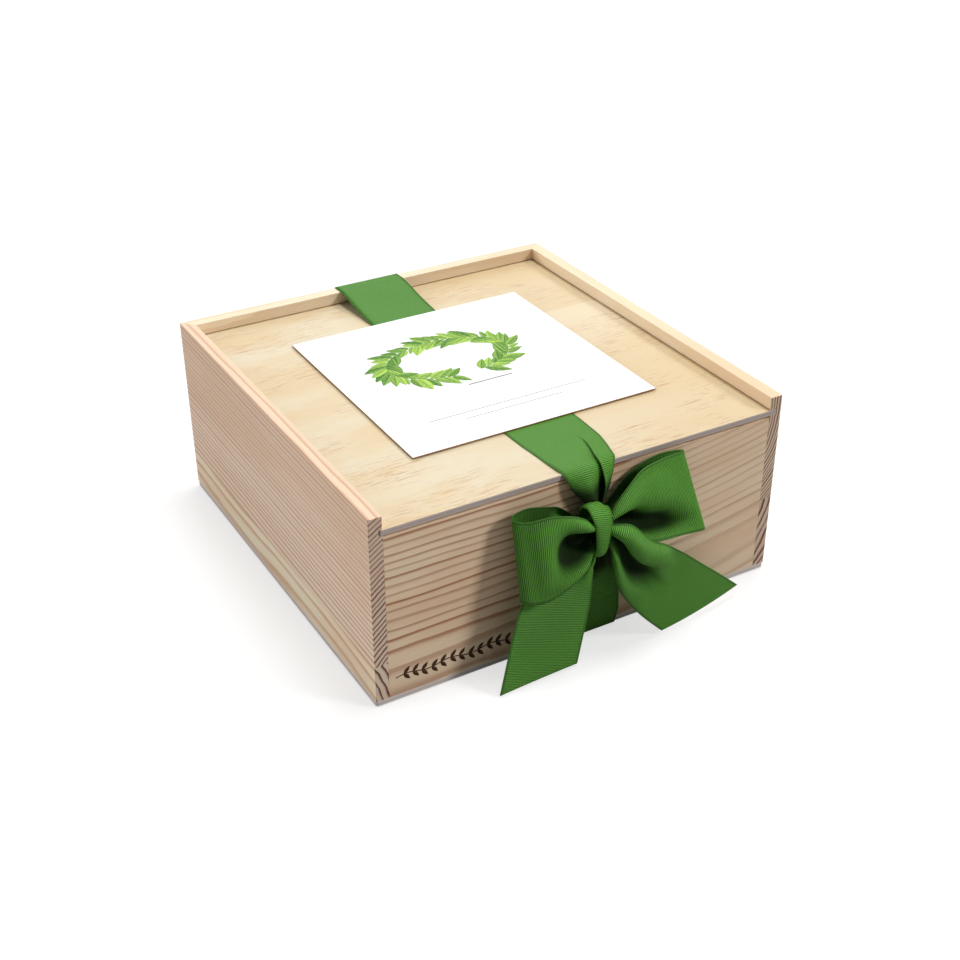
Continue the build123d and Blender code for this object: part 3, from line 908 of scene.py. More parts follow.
@dataclass(frozen=True)
class FibreFinish:
    """Pressed plant fibre, as in pots and growing discs, with painted shade where its lumps are low."""

    name: str
    dark: Colour
    light: Colour
    strand_size: float

    def build(self, groups: Groups) -> Material:
        """Build the material.

        Args:
            groups: The shared node groups.

        Returns:
            The material.
        """
        material, nodes, shader = new_material(self.name, roughness=0.9, specular=0.15)
        place, _ = place_in_mm(nodes)
        mat = nodes.group(groups.fibre, Place=place, Size=self.strand_size)
        tone = nodes.mix(nodes.remap(mat["Strand"], 0.45, 0.75), self.dark, self.light)
        # Painted shade: darker where the lumps, and so the bump's height, are low
        painted_lump_shade = nodes.remap(mat["Lump"], 0.35, 0.55, 0.5, 0.0)
        height = nodes.plus(mat["Strand"], nodes.times(mat["Lump"], 1.5))
        colour = nodes.mix(painted_lump_shade, tone, shaded(self.dark, 0.5))
        nodes.paint(shader, colour, height, depth=0.5, strength=0.9)
        return material


@dataclass(frozen=True)
class PlainFinish:
    """Smooth plastic or metal with faint fine wear."""

    name: str
    colour: Colour
    roughness: float
    metallic: float = 0.0

    def build(self, groups: Groups) -> Material:
        """Build the material.

        Args:
            groups: The shared node groups.

        Returns:
            The material.
        """
        material, nodes, shader = new_material(self.name, self.roughness)
        place, _ = place_in_mm(nodes)
        wear = nodes.group(groups.fibre, Place=place, Size=1.2)
        worn = tuple(min(1.0, part * 1.35 + 0.01) for part in self.colour)
        share = nodes.remap(wear["Strand"], 0.55, 0.8, 0.0, 0.5)
        rough = nodes.remap(wear["Lump"], 0.3, 0.7, self.roughness - 0.08, self.roughness + 0.08)
        colour = nodes.mix(share, self.colour, worn)
        nodes.paint(shader, colour, wear["Lump"], depth=0.02, strength=0.4)
        nodes.fill(shader, Roughness=rough, Metallic=self.metallic)
        return material


@dataclass(frozen=True)
class InkFinish:
    """Printed or burnt colour that each shape carries as its own shade."""

    name: str
    dark: Colour
    light: Colour
    roughness: float = 0.7

    def build(self) -> Material:
        """Build the material from the shade that the mesh carries.

        Returns:
            The material.
        """
        material, nodes, shader = new_material(self.name, self.roughness, specular=0.2)
        shade = nodes.add("ShaderNodeAttribute", attribute_name="shade").outputs["Fac"]
        speckle = nodes.noise(place_in_mm(nodes)[0], 1.6, 3.0, 0.6)
        amount = nodes.times_plus(nodes.minus(speckle, 0.5), 0.35, shade, clamp=True)
        nodes.fill(shader, Base_Color=nodes.mix(amount, self.dark, self.light))
        return material


# Boards of the box

# Share of its draw that a side moves in where the end is cut, which keeps the end's face open
DRAW_SHARE = 0.9


@dataclass
class Board:
    """One sawn board: an outline carried along its length, with its sharp corners eased.

    Attributes:
        node: Frame node that the board stands for.
        outline: Corners of its end as pairs of two coordinates in metres, anticlockwise.
        eased: Whether each side of the outline, from its own corner to the next, has worn edges.
        ends_eased: Whether the first and the last end have worn edges.
        round_over: Radius of the worn edges in metres.
        steps: Points on an eighth or a quarter of a turn of a worn edge.
        arcs: Whether the outline gets arcs at its corners, or has them already.
    """

    node: str
    outline: Array
    eased: Array
    ends_eased: tuple[bool, bool] = (True, True)
    round_over: float = 0.35 * MM
    steps: int = 3
    arcs: bool = True

    def side_normals(self, points: Array) -> Array:
        """Inward unit normal of each side, from its corner to the next.

        Args:
            points: Corners of an outline, anticlockwise.

        Returns:
            Normals, one for each corner.
        """
        way = np.roll(points, -1, axis=0) - points
        way /= np.linalg.norm(way, axis=1, keepdims=True)
        return np.stack([-way[:, 1], way[:, 0]], axis=1)

    def rounded(self) -> tuple[Array, Array]:
        """Outline with an arc at each corner between two eased sides.

        Formula: from the corner, the arc's middle lies in along both sides' normals by the radius,
        and its points swing from the first side's normal to the second's.

        Returns:
            Points of the outline, and how far each side draws in at the board's ends.
        """
        if not self.arcs:
            return self.outline, np.full(len(self.outline), self.round_over)
        inward = self.side_normals(self.outline)
        before = np.roll(inward, 1, axis=0)
        radius = self.round_over * (self.eased & np.roll(self.eased, 1))
        pair = np.stack([before, inward], axis=1)
        middle = self.outline + np.linalg.solve(pair, np.stack([radius, radius], axis=1)[..., None])[..., 0]
        share = np.linspace(0.0, 1.0, self.steps)[None, :, None]
        swing = before[:, None] * (1 - share) + inward[:, None] * share
        swing /= np.linalg.norm(swing, axis=2, keepdims=True)
        points = middle[:, None] - swing * radius[:, None, None]
        convex = (before[:, 0] * inward[:, 1] - before[:, 1] * inward[:, 0]) > 0
        keep = (radius > 0) & convex
        rows = [arc if kept else corner[None] for arc, kept, corner in zip(points, keep, self.outline)]
        draws = [
            np.append(np.full(len(row) - 1, self.round_over), self.round_over * worn)
            for row, worn in zip(rows, self.eased)
        ]
        return np.concatenate(rows), np.concatenate(draws)

    def drawn_in(self, points: Array, draws: Array, share: float) -> Array:
        """Outline with each side moved inward.

        Formula: a corner moves so that its way along the normals of its two sides is their draws
        times the share, and nearly parallel sides are solved for the least move.

        Args:
            points: Corners of the outline.
            draws: Greatest way in of each side in metres.
            share: Share of it.

        Returns:
            Corners of the new outline.
        """
        inward = self.side_normals(points)
        before = np.roll(inward, 1, axis=0)
        pair = np.stack([before, inward], axis=1)
        moves = np.stack([np.roll(draws, 1), draws], axis=1) * share
        return points + np.einsum("nij,nj->ni", np.linalg.pinv(pair, rcond=0.02), moves)

    def build(self, carry: Carry) -> Piece:
        """Build the board.

        Args:
            carry: Gives the points in metres for an outline at an end, 0 or 1, set in by a length.

        Returns:
            The board, closed at both ends.
        """
        points, draws = self.rounded()
        angles = np.linspace(0.0, math.pi / 2, self.steps)
        rings = []
        for end, worn in enumerate(self.ends_eased):
            turns = angles if worn else angles[-1:]
            turns = turns if end == 0 else turns[::-1]
            for turn in turns:
                shape = self.drawn_in(points, draws, DRAW_SHARE * (1 - math.sin(turn)))
                inset = self.round_over * (1 - math.sin(math.pi / 2 - turn)) if worn else 0.0
                rings.append(carry(shape, float(end), inset))
        grid = np.stack(rings)
        count, around = grid.shape[:2]
        faces = grid_faces(count, around, round_columns=True).tolist()
        faces.append(list(range(around)))
        faces.append([(count - 1) * around + corner for corner in range(around)])
        piece = mesh_object(self.node + "_board", grid, faces, smooth=False)
        turn_outward(piece)
        return piece


@dataclass
class PineBox:
    """Four pine walls: side boards of two glued strips, a low front wall and a back wall."""

    groups: Groups
    wall: float = 7.0 * MM
    groove_low: float = 93.8 * MM
    groove_high: float = 97.2 * MM
    groove_depth: float = 4.5 * MM
    left_groove_depth: float = 1.9 * MM
    lip_chamfer: float = 0.35 * MM
    front_round_over: float = 0.25 * MM
    finishes: dict[str, PineFinish] = field(
        default_factory=lambda: {
            "left_side_upper_board": PineFinish(
                "pine left upper", Grain.ALONG_Y, (17.0, 0.0, -99.0), pitch=2.3, seed=3.0,
                lean=(0.25, 0.0), early=(0.92, 0.745, 0.58), late=(0.50, 0.26, 0.17),
                contrast=0.85, wave=2.0, drift=0.020,
            ),
            "left_side_lower_board": PineFinish(
                "pine left lower", Grain.ALONG_Y, (-166.0, 0.0, -8.0), pitch=3.1, seed=11.0,
                lean=(0.1, 0.1), early=(1.0, 0.88, 0.68), late=(0.60, 0.29, 0.13), contrast=0.85,
            ),
            "right_side_upper_board": PineFinish(
                "pine right upper", Grain.ALONG_Y, (58.0, 0.0, 99.0), pitch=1.75, seed=23.0,
                lean=(0.0, 0.2), early=(0.93, 0.79, 0.58), late=(0.62, 0.42, 0.26),
                contrast=0.5, wave=3.0, sharp=1.6,
            ),
            "right_side_lower_board": PineFinish(
                "pine right lower", Grain.ALONG_Y, (33.0, 0.0, 66.0), pitch=3.5, seed=31.0,
                lean=(0.2, 0.0), sharp=1.6,
            ),
            "front_panel": PineFinish(
                "pine front", Grain.ALONG_X, (0.0, -82.0, 12.0), pitch=3.7, seed=47.0,
                lean=(0.3, 0.0), early=(0.87, 0.695, 0.505), late=(0.40, 0.16, 0.07),
                contrast=1.0, sharp=3.4, bow=(-20.0, 0.0008), fade=(30.0, 70.0, 0.45),
            ),
            "back_panel": PineFinish(
                "pine back", Grain.ALONG_X, (0.0, 30.0, 92.0), pitch=2.9, seed=53.0,
                lean=(-0.3, 0.1), early=(0.92, 0.80, 0.61), late=(0.62, 0.40, 0.24),
                contrast=0.45, wave=2.5,
            ),
        }
    )

    def side_outline(self, low: float, high: float, depth: float) -> tuple[Array, Array]:
        """Outline of a wall from its outer face inward, with the lid's groove where it is tall enough.

        Args:
            low: Height of its underside in metres.
            high: Height of its top in metres.
            depth: Depth of the groove in metres.

        Returns:
            Corners as thickness and height, and whether each side has worn edges.
        """
        if high < self.groove_high:
            outline = [(0.0, low), (self.wall, low), (self.wall, high), (0.0, high)]
            return np.array(outline), np.array([False] * 3 + [True])
        floor = self.wall - depth
        outline = [
            (0.0, low),
            (self.wall, low),
            (self.wall, self.groove_low),
            (floor, self.groove_low),
            (floor, self.groove_high),
            (self.wall - self.lip_chamfer, self.groove_high),
            (self.wall, self.groove_high + self.lip_chamfer),
            (self.wall, high),
            (0.0, high),
        ]
        return np.array(outline), np.array([False] * 6 + [True] * 3)

    def put_up(self, board: Board, carry: Carry) -> None:
        """Build a wall's board and dress it in its own pine."""
        pine = self.finishes[board.node].build(self.groups)
        dress(board.build(carry), Body.BOX, Slot.PINE, pine, [board.node])

    def build_side(self, node: str, inward: float) -> None:
        """Build a side board, mitred at the back.

        Args:
            node: Frame node of the board.
            inward: Sign of the way from its outer face into the box, along X.
        """
        low, high = corners(node)
        outer = low[0] if inward > 0 else high[0]
        depth = self.left_groove_depth if inward > 0 else self.groove_depth
        outline, eased = self.side_outline(low[2], high[2], depth)

        def carry(shape: Array, end: float, inset: float) -> Array:
            """Points of the outline at the front end or at the mitre."""
            y = np.full(len(shape), low[1] + inset) if end == 0.0 else high[1] - shape[:, 0]
            return np.stack([outer + inward * shape[:, 0], y, shape[:, 1]], axis=1)

        self.put_up(Board(node, outline, eased, ends_eased=(True, False)), carry)

    def build_back(self) -> None:
        """Build the back wall, mitred at both ends."""
        low, high = corners("back_panel")
        outline, eased = self.side_outline(low[2], high[2], self.groove_depth)

        def carry(shape: Array, end: float, inset: float) -> Array:
            """Points of the outline at the left or the right mitre."""
            x = low[0] + shape[:, 0] if end == 0.0 else high[0] - shape[:, 0]
            return np.stack([x, high[1] - shape[:, 0], shape[:, 1]], axis=1)

        self.put_up(Board("back_panel", outline, eased, ends_eased=(False, False)), carry)

    def build_front(self) -> None:
        """Build the front wall, which ends under the lid."""
        low, high = corners("front_panel")
        outline = np.array([(low[1], low[2]), (high[1], low[2]), (high[1], high[2]), (low[1], high[2])])
        eased = np.array([False, True, True, True])

        def carry(shape: Array, end: float, inset: float) -> Array:
            """Points of the outline at the left or the right end."""
            x = low[0] + inset if end == 0.0 else high[0] - inset
            return np.stack([np.full(len(shape), x), shape[:, 0], shape[:, 1]], axis=1)

        self.put_up(Board("front_panel", outline, eased, round_over=self.front_round_over), carry)

    def build(self) -> None:
        """Build every wall."""
        for level in ("lower", "upper"):
            self.build_side(f"left_side_{level}_board", 1.0)
            self.build_side(f"right_side_{level}_board", -1.0)
        self.build_back()
        self.build_front()


@dataclass
class PlyPanels:
    """The plywood base and the plywood lid that slides over it."""

    groups: Groups
    base_corner: float = 1.5 * MM
    lid_corner: float = 0.6 * MM
    corner_points: int = 6
    worn: float = 0.25 * MM

    def rounded_plan(self, node: str, radius: float) -> Array:
        """Plan of a panel with round corners.

        Formula: quarter circles about the four points that lie in from the corners by the radius.

        Args:
            node: Frame node of the panel.
            radius: Radius of the corners in metres.

        Returns:
            Corners as pairs of x and y, anticlockwise.
        """
        low, high = corners(node)
        middles = np.array([(high[0], high[1]), (low[0], high[1]), (low[0], low[1]), (high[0], low[1])])
        signs = np.array([(-1, -1), (1, -1), (1, 1), (-1, 1)])
        quarter = np.linspace(0.0, math.pi / 2, self.corner_points)
        turn = quarter[None, :] + np.arange(4)[:, None] * math.pi / 2
        arcs = np.stack([np.cos(turn), np.sin(turn)], axis=2) * radius
        return (middles[:, None] + signs[:, None] * radius + arcs).reshape(-1, 2)

    def build_panel(self, node: str, radius: float, body: Body, finish: PlywoodFinish) -> None:
        """Build one panel.

        Args:
            node: Frame node of the panel.
            radius: Radius of its corners in metres.
            body: Body that it rides on.
            finish: Its finish.
        """
        low, high = corners(node)
        plan = self.rounded_plan(node, radius)

        def carry(shape: Array, end: float, inset: float) -> Array:
            """Points of the plan at the underside or the top."""
            z = low[2] + inset if end == 0.0 else high[2] - inset
            return np.column_stack([shape, np.full(len(shape), z)])

        board = Board(node, plan, np.full(len(plan), True), round_over=self.worn, arcs=False)
        material = finish.build(self.groups, low[2] * MM_PER_METRE, (high[2] - low[2]) * MM_PER_METRE)
        dress(board.build(carry), body, Slot.PLYWOOD, material, [node])

    def build(self) -> None:
        """Build the base and the lid."""
        lid = PlywoodFinish("plywood lid", 7.0, joint_y=40.0)
        base = PlywoodFinish("plywood base", 19.0, edge=(0.84, 0.76, 0.74))
        self.build_panel("base_panel", self.base_corner, Body.BOX, base)
        self.build_panel("lid_panel", self.lid_corner, Body.LID, lid)


# Cloth

@dataclass
class Band:
    """A run of ribbon between two edges, with folds that keep its width.

    Attributes:
        name: Name of the piece.
        first: Stations of the edge that the ribbon's width starts at, in millimetres.
        second: Stations of the other edge.
        folds: Height of the folds over the band between the edges, stations by places across.
        shares: Place of each fold across, as a share of the way between the edges.
        outside: Sign that turns the folds' heights to the outside.
        filled: Whether the folds deepen until the cloth across is as wide as the ribbon.
        deepest: Greatest depth that the filling gives a fold of height one, in millimetres.
        cut: Share of the length at which the first and the second edge are cut off.
        ring: Whether the band closes on itself.
        clear: Least distance from the front wall in millimetres, or None.
        under: Places along the band from 0 to 1, each with its share of painted shade where it lies out of
            the light.
        rows: Points along the band.
        columns: Points across the band.
        width: Width of the ribbon in millimetres.
        ease: Share of the width that the filling aims for, over one where the cloth is drawn in.
        thickness: Thickness of the cloth in millimetres.
        lit_height: Height of a fold in millimetres that takes one whole share off its painted shade where it
            isn't filled.
        dark_depth: Depth of a fold in millimetres that adds one whole share of painted shade where it isn't
            filled.
        filled_dark_depth: The same depth where the folds are filled.
        halvings: Number of times that the filling halves its search.
    """

    name: str
    first: Sequence[Point]
    second: Sequence[Point]
    folds: Sequence[Sequence[float]]
    shares: Optional[Sequence[Sequence[float]]] = None
    outside: float = 1.0
    filled: bool = True
    deepest: float = 6.0
    cut: tuple[float, float] = (1.0, 1.0)
    ring: bool = False
    clear: Optional[float] = 0.35
    under: Optional[Sequence[tuple[float, float]]] = None
    rows: int = 150
    columns: int = 72
    width: float = 40.0
    ease: float = 1.0
    thickness: float = 0.4
    lit_height: float = 9.0
    dark_depth: float = 3.0
    filled_dark_depth: float = 6.0
    halvings: int = 26

    def frames(self) -> tuple[Array, Array, Array]:
        """Points across the flat band, its outward normals and the heights of its folds.

        Formula: both edges are splines through their stations. The normal is the way across times
        the way along. A fold's place and height are splines across the band and along it.

        Returns:
            Points, normals and heights, each by rows and columns.
        """
        along = spline_weights(len(self.first), self.rows, self.ring)
        first = along @ np.array(self.first, float)
        second = along @ np.array(self.second, float)
        folds = np.array(self.folds, float)
        across = spline_weights(folds.shape[1], self.columns)
        even = np.tile(np.linspace(0.0, 1.0, folds.shape[1]), (len(folds), 1))
        places = even if self.shares is None else np.array(self.shares, float)
        place = (along @ places @ across.T)[..., None]
        chord = second - first
        middle = (first + second) / 2
        if self.ring:
            way = np.roll(middle, -1, axis=0) - np.roll(middle, 1, axis=0)
        else:
            way = np.gradient(middle, axis=0)
        normal = np.cross(chord, way)
        normal *= self.outside / np.linalg.norm(normal, axis=1, keepdims=True)
        flat = first[:, None] + chord[:, None] * place
        return flat, np.broadcast_to(normal[:, None], flat.shape), (along @ folds @ across.T)[..., None]

    def surface(self) -> tuple[Array, Array]:
        """Points of the band in millimetres, and the painted shade of each from 0 to 1.

        Formula: flat point + normal x height x depth, where each row's depth is halved in on until
        the row's length is the ribbon's width. A point gets more painted shade as its fold sinks
        and less as it rises, plus the share of painted shade that the band gets out of the light.

        Returns:
            Points, and painted shade from 0 in the light to 1 out of it.
        """
        flat, normal, height = self.frames()
        # Painted shade along the band, from its table of shares out of the light
        under = np.zeros((self.rows, 1))
        if self.under is not None:
            under = np.interp(np.linspace(0.0, 1.0, self.rows), *zip(*self.under))[:, None]
        # Painted shade: less on fold crests, more in valleys, on top of the band's own share
        if not self.filled:
            crest = np.maximum(height[..., 0], 0.0) / self.lit_height
            valley = np.minimum(height[..., 0], 0.0) / self.dark_depth
            return flat + normal * height, np.clip(under - crest - valley, 0.0, 1.0)
        high = np.full(self.rows, self.deepest)
        low = np.zeros(self.rows)
        for _ in range(self.halvings):
            middle = (low + high) / 2
            points = flat + normal * height * middle[:, None, None]
            short = lengths_along(points, 1)[:, -1] < self.width * self.ease
            low = np.where(short, middle, low)
            high = np.where(short, high, middle)
        depth = self.smoothed(low)[:, None, None]
        # Painted shade from how far each fold sinks, on top of the band's own share
        painted_shade = -(height * depth)[..., 0] / self.filled_dark_depth
        return flat + normal * height * depth, np.clip(under + painted_shade, 0.0, 1.0)

    def smoothed(self, depth: Array) -> Array:
        """Depth of the rows, evened out over neighbouring rows by a bell of weights.

        Args:
            depth: Depth of each row.

        Returns:
            The evened depth of each row.
        """
        reach = 4
        padded = np.pad(depth, reach, mode="wrap" if self.ring else "edge")
        kernel = np.hanning(2 * reach + 3)[1:-1]
        return np.convolve(padded, kernel / kernel.sum(), mode="valid")

    def trimmed(self, grid: Array, share: Array) -> Array:
        """Grid with every column drawn up to the slanted cut.

        Formula: each point is read between its two neighbours along the column, at its own place
        times the share of the length at which the column is cut.

        Args:
            grid: Points and values by rows and columns.
            share: Place of each column across the cloth, from 0 to 1.

        Returns:
            The grid up to the cut.
        """
        end = self.cut[0] + (self.cut[1] - self.cut[0]) * share
        place = np.linspace(0.0, 1.0, len(grid))[:, None] * end[None, :] * (len(grid) - 1)
        below = np.minimum(place.astype(int), len(grid) - 2)
        part = (place - below)[..., None]
        low = np.take_along_axis(grid, below[..., None], axis=0)
        high = np.take_along_axis(grid, below[..., None] + 1, axis=0)
        return low * (1 - part) + high * part

    def build(self) -> tuple[Piece, float]:
        """Build the band.

        Returns:
            The piece, and its cut length in metres.
        """
        points, painted_shade = self.surface()
        if self.clear is not None:
            points[..., 1] = np.minimum(points[..., 1], FRONT_FACE - self.clear)
        across = lengths_along(points, 1)
        share = across[-1] / across[-1, -1]
        reach = lengths_along(points, 0).mean(axis=1, keepdims=True)
        along = np.broadcast_to(reach, across.shape)
        across = across / across[:, -1:] * self.width
        grid = np.concatenate([points, across[..., None], along[..., None], painted_shade[..., None]], axis=2)
        if self.cut != (1.0, 1.0):
            grid = self.trimmed(grid, share)
        places = grid[..., 3:5]
        if self.ring:
            gap = np.linalg.norm(points[0] - points[-1], axis=1).mean()
            places = np.concatenate([places, places[:1]])
            places[-1, :, 1] = along[-1, 0] + gap
        piece = grid_object(self.name, grid[..., :3] * MM, places * MM, round_rows=self.ring)
        # Painted shade of each point, with which the ribbon's material darkens the colour
        store_values(piece, "painted_shade", grid[..., 5])
        thicken(piece, self.thickness * MM)
        return piece, float(places[..., 1].max()) * MM


def on_front(points: Sequence[Point]) -> list[Point]:
    """Points given as x, distance in front of the front wall and height, in the frame."""
    return [(x, FRONT_FACE - out, z) for x, out, z in points]


def by_length(edge: Sequence[Point], marks: Array) -> Array:
    """Points of an edge at set lengths, run on in a straight line past its end.

    Args:
        edge: Stations of the edge.
        marks: Lengths from its start.

    Returns:
        Points by three.
    """
    samples, last_samples = 400, 12
    dense = spline_weights(len(edge), samples) @ np.array(edge, float)
    reach = lengths_along(dense[:, None], 0)[:, 0]
    inside = np.stack([np.interp(marks, reach, dense[:, part]) for part in range(3)], axis=1)
    last = dense[-1] - dense[-last_samples]
    last /= np.linalg.norm(last)
    return inside + np.maximum(marks - reach[-1], 0.0)[:, None] * last


@dataclass
class GiftRibbon:
    """The grosgrain ribbon that goes round the box, and its bow on the front.

    Stations are in millimetres. On the front they give x, the way out from the front wall and the
    height. Each row of folds is one station of both edges, from the first edge to the second.
    """

    groups: Groups
    half_width: float = 20.0
    gap: float = 0.25
    back_x: float = -1.4
    plain_stations: int = 9

    def flat_run(self, name: str, middles: Sequence[Point]) -> Band:
        """A run that lies flat.

        Args:
            name: Name of the piece.
            middles: Stations of its middle line.

        Returns:
            The run.
        """
        left = [(x - self.half_width, y, z) for x, y, z in middles]
        right = [(x + self.half_width, y, z) for x, y, z in middles]
        flat = [(0.0, 0.0)] * len(middles)
        return Band(name, left, right, flat, outside=-1.0, filled=False, clear=None, columns=12)

    def top_run(self) -> Band:
        """The run under the card and up over the back wall.

        Returns:
            The run.
        """
        low = LID_TOP + self.gap
        over = WALL_TOP + self.gap
        back = BACK_FACE + self.gap
        middles = [
            (1.4, -69.5, low), (1.2, -45.0, low), (1.0, -20.0, low), (0.9, 5.0, low), (0.7, 30.0, low),
            (0.6, 52.0, low), (0.5, 68.0, low + 0.05), (0.3, 76.0, low + 0.9), (-0.2, 88.0, low + 2.8),
            (-0.8, 100.0, over - 1.6), (-1.2, 108.0, over - 0.1), (self.back_x, 112.0, over),
            (self.back_x, back - 0.3, over),
        ]
        return self.flat_run("ribbon_top_cloth", middles)

    def back_run(self) -> Band:
        """The run down the back wall."""
        heights = np.linspace(WALL_TOP + 0.1, 0.5, self.plain_stations)
        return self.flat_run("ribbon_back_cloth", [(self.back_x, BACK_FACE + self.gap, z) for z in heights])

    def under_run(self) -> Band:
        """The run under the base."""
        ways = np.linspace(BACK_FACE + self.gap, -BACK_FACE - self.gap, self.plain_stations)
        return self.flat_run("ribbon_under_cloth", [(self.back_x, y, self.gap) for y in ways])

    def front_gather(self) -> Band:
        """The run from the card to the knot, which folds over itself as it narrows.

        Returns:
            The run.
        """
        profile = [
            (-46.5, 97.15), (-38.5, 97.15), (-31.0, 97.15), (-22.0, 97.2), (-13.0, 97.3), (-8.0, 97.5),
            (-4.0, 97.6), (-1.0, 97.3), (1.2, 96.2), (2.6, 94.2), (3.5, 91.0), (4.3, 87.6), (5.3, 83.4),
            (6.6, 79.6), (9.0, 74.0),
        ]
        left_x = [
            -18.5, -18.2, -17.9, -17.1, -16.6, -16.2, -15.8, -15.4, -14.9, -14.1, -12.8, -10.7, -7.5,
            -4.2, -2.5,
        ]
        right_x = [21.3, 21.3, 21.0, 20.5, 18.5, 17.0, 15.8, 14.8, 13.0, 11.7, 10.3, 9.0, 6.9, 4.2, 3.0]
        left = on_front([(x, out, z) for x, (out, z) in zip(left_x, profile)])
        right = on_front([(x, out, z) for x, (out, z) in zip(right_x, profile)])
        shares = [
            *([np.linspace(0.0, 1.0, 9).tolist()] * 2),
            [0.0, 0.13, 0.26, 0.39, 0.52, 0.645, 0.75, 0.87, 1.0],
            [0.0, 0.13, 0.27, 0.41, 0.56, 0.715, 0.755, 0.87, 1.0],
            [0.0, 0.15, 0.30, 0.46, 0.62, 0.775, 0.726, 0.85, 1.0],
            [0.0, 0.16, 0.33, 0.50, 0.67, 0.80, 0.70, 0.84, 1.0],
            [0.0, 0.17, 0.35, 0.53, 0.71, 0.82, 0.674, 0.83, 1.0],
            [0.0, 0.18, 0.36, 0.55, 0.74, 0.84, 0.666, 0.82, 1.0],
            [0.0, 0.18, 0.37, 0.57, 0.77, 0.86, 0.69, 0.83, 1.0],
            [0.0, 0.18, 0.38, 0.58, 0.80, 0.88, 0.71, 0.84, 1.0],
            [0.0, 0.18, 0.38, 0.59, 0.83, 0.92, 0.753, 0.86, 1.0],
            [0.0, 0.18, 0.38, 0.60, 0.85, 0.94, 0.77, 0.87, 1.0],
            *([[0.0, 0.18, 0.38, 0.60, 0.86, 0.95, 0.76, 0.87, 1.0]] * 3),
        ]
        folds = [
            *([[0.0] * 9] * 2),
            [0.0, 0.0, 0.0, 0.0, 0.0, 0.1, 0.3, 0.1, 0.0],
            [0.0, 0.1, 0.2, 0.2, 0.1, 0.0, 0.6, 0.3, 0.0],
            [0.0, 0.3, 0.6, 0.6, 0.2, 0.1, 1.1, 0.7, 0.1],
            [0.0, 0.6, 1.0, 0.9, 0.2, 0.2, 1.6, 1.0, 0.1],
            [0.0, 0.9, 1.5, 1.2, 0.1, 0.3, 2.1, 1.4, 0.2],
            [0.0, 1.2, 1.9, 1.5, 0.0, 0.4, 2.5, 1.7, 0.3],
            [0.0, 1.5, 2.4, 1.8, -0.2, 0.5, 2.8, 2.0, 0.4],
            [0.0, 1.7, 2.8, 1.8, -0.9, 0.3, 3.0, 2.1, 0.4],
            [0.0, 1.9, 3.1, 1.6, -1.6, -0.2, 3.1, 2.1, 0.4],
            [0.0, 2.0, 3.1, 1.1, -2.3, -0.8, 3.0, 1.9, 0.3],
            [0.0, 1.8, 2.7, 0.6, -2.6, -1.0, 2.6, 1.6, 0.3],
            [0.0, 1.4, 2.0, 0.4, -2.2, -0.8, 2.1, 1.3, 0.2],
            [0.0, 0.9, 1.4, 0.8, -0.5, 0.1, 1.4, 0.9, 0.1],
        ]
        # Painted shade along the run, as shares by place from its start to its end
        under = [(0.0, 0.0), (0.6, 0.0), (0.68, 0.3), (0.75, 0.75), (0.82, 1.15), (1.0, 1.4)]
        return Band(
            "ribbon_gather_cloth", left, right, folds, shares,
            outside=-1.0, filled=False, clear=None, under=under, rows=180,
        )

    def loop_left(self) -> Band:
        """The left loop of the bow: back layer, round fold and pleated front layer.

        Returns:
            The loop.
        """
        upper = [
            (-2.0, 8.0, 69.0), (-8.6, 4.0, 73.3), (-18.1, 3.5, 81.6), (-25.7, 4.0, 84.8), (-35.2, 4.5, 87.6),
            (-41.2, 5.2, 88.0), (-45.3, 6.2, 87.5), (-46.9, 8.0, 86.8), (-44.8, 10.3, 86.1),
            (-39.8, 12.0, 85.4), (-30.4, 14.0, 86.2), (-20.5, 15.5, 84.4), (-12.8, 16.3, 80.8),
            (-7.6, 14.2, 75.0), (-2.0, 10.5, 70.0),
        ]
        lower = [
            (-2.0, 9.5, 64.0), (-8.6, 7.5, 62.0), (-18.0, 6.0, 56.0), (-25.7, 6.0, 51.5), (-35.2, 8.0, 48.0),
            (-41.5, 10.8, 47.2), (-45.8, 14.2, 47.0), (-47.2, 18.0, 47.0), (-44.9, 20.9, 47.1),
            (-39.9, 22.0, 46.0), (-33.6, 22.5, 46.0), (-23.2, 21.5, 49.0), (-14.3, 18.0, 52.3),
            (-7.6, 14.0, 57.0), (-2.0, 10.0, 62.0),
        ]
        gentle = [0.0, 0.2, 0.35, 0.3, 0.1, -0.1, -0.2, -0.15, -0.1, 0.0, 0.1, 0.1, 0.0]
        folds = [
            *([gentle] * 3),
            *([[0.0] * 13] * 7),
            [0.0, 0.1, 0.2, 0.25, 0.25, 0.25, 0.25, 0.25, 0.2, 0.15, 0.1, 0.0, 0.0],
            [0.0, 0.2, 0.2, -0.1, -0.5, -0.8, -0.9, -0.8, -0.5, -0.2, 0.0, 0.1, 0.0],
            [0.0, 0.4, 0.5, 0.0, -0.8, -1.2, -1.3, -1.2, -0.9, -0.4, 0.2, 0.3, 0.1],
            [0.0, 0.2, 0.2, -0.2, -0.8, -0.9, -0.8, -0.6, -0.7, -0.6, 0.0, 0.2, 0.0],
            [0.0, 0.2, 0.2, 0.0, -0.4, -0.5, -0.4, -0.3, -0.4, -0.3, 0.0, 0.2, 0.0],
        ]
        # Painted shade along the run, as shares by place from its start to its end
        under = [(0.0, 0.9), (0.2, 0.6), (0.4, 0.45), (0.5, 0.36), (0.8, 0.36), (0.93, 0.6), (1.0, 1.0)]
        return Band(
            "bow_loop_left_cloth", on_front(upper), on_front(lower), folds,
            deepest=8.5, ease=1.2, under=under, rows=260,
        )

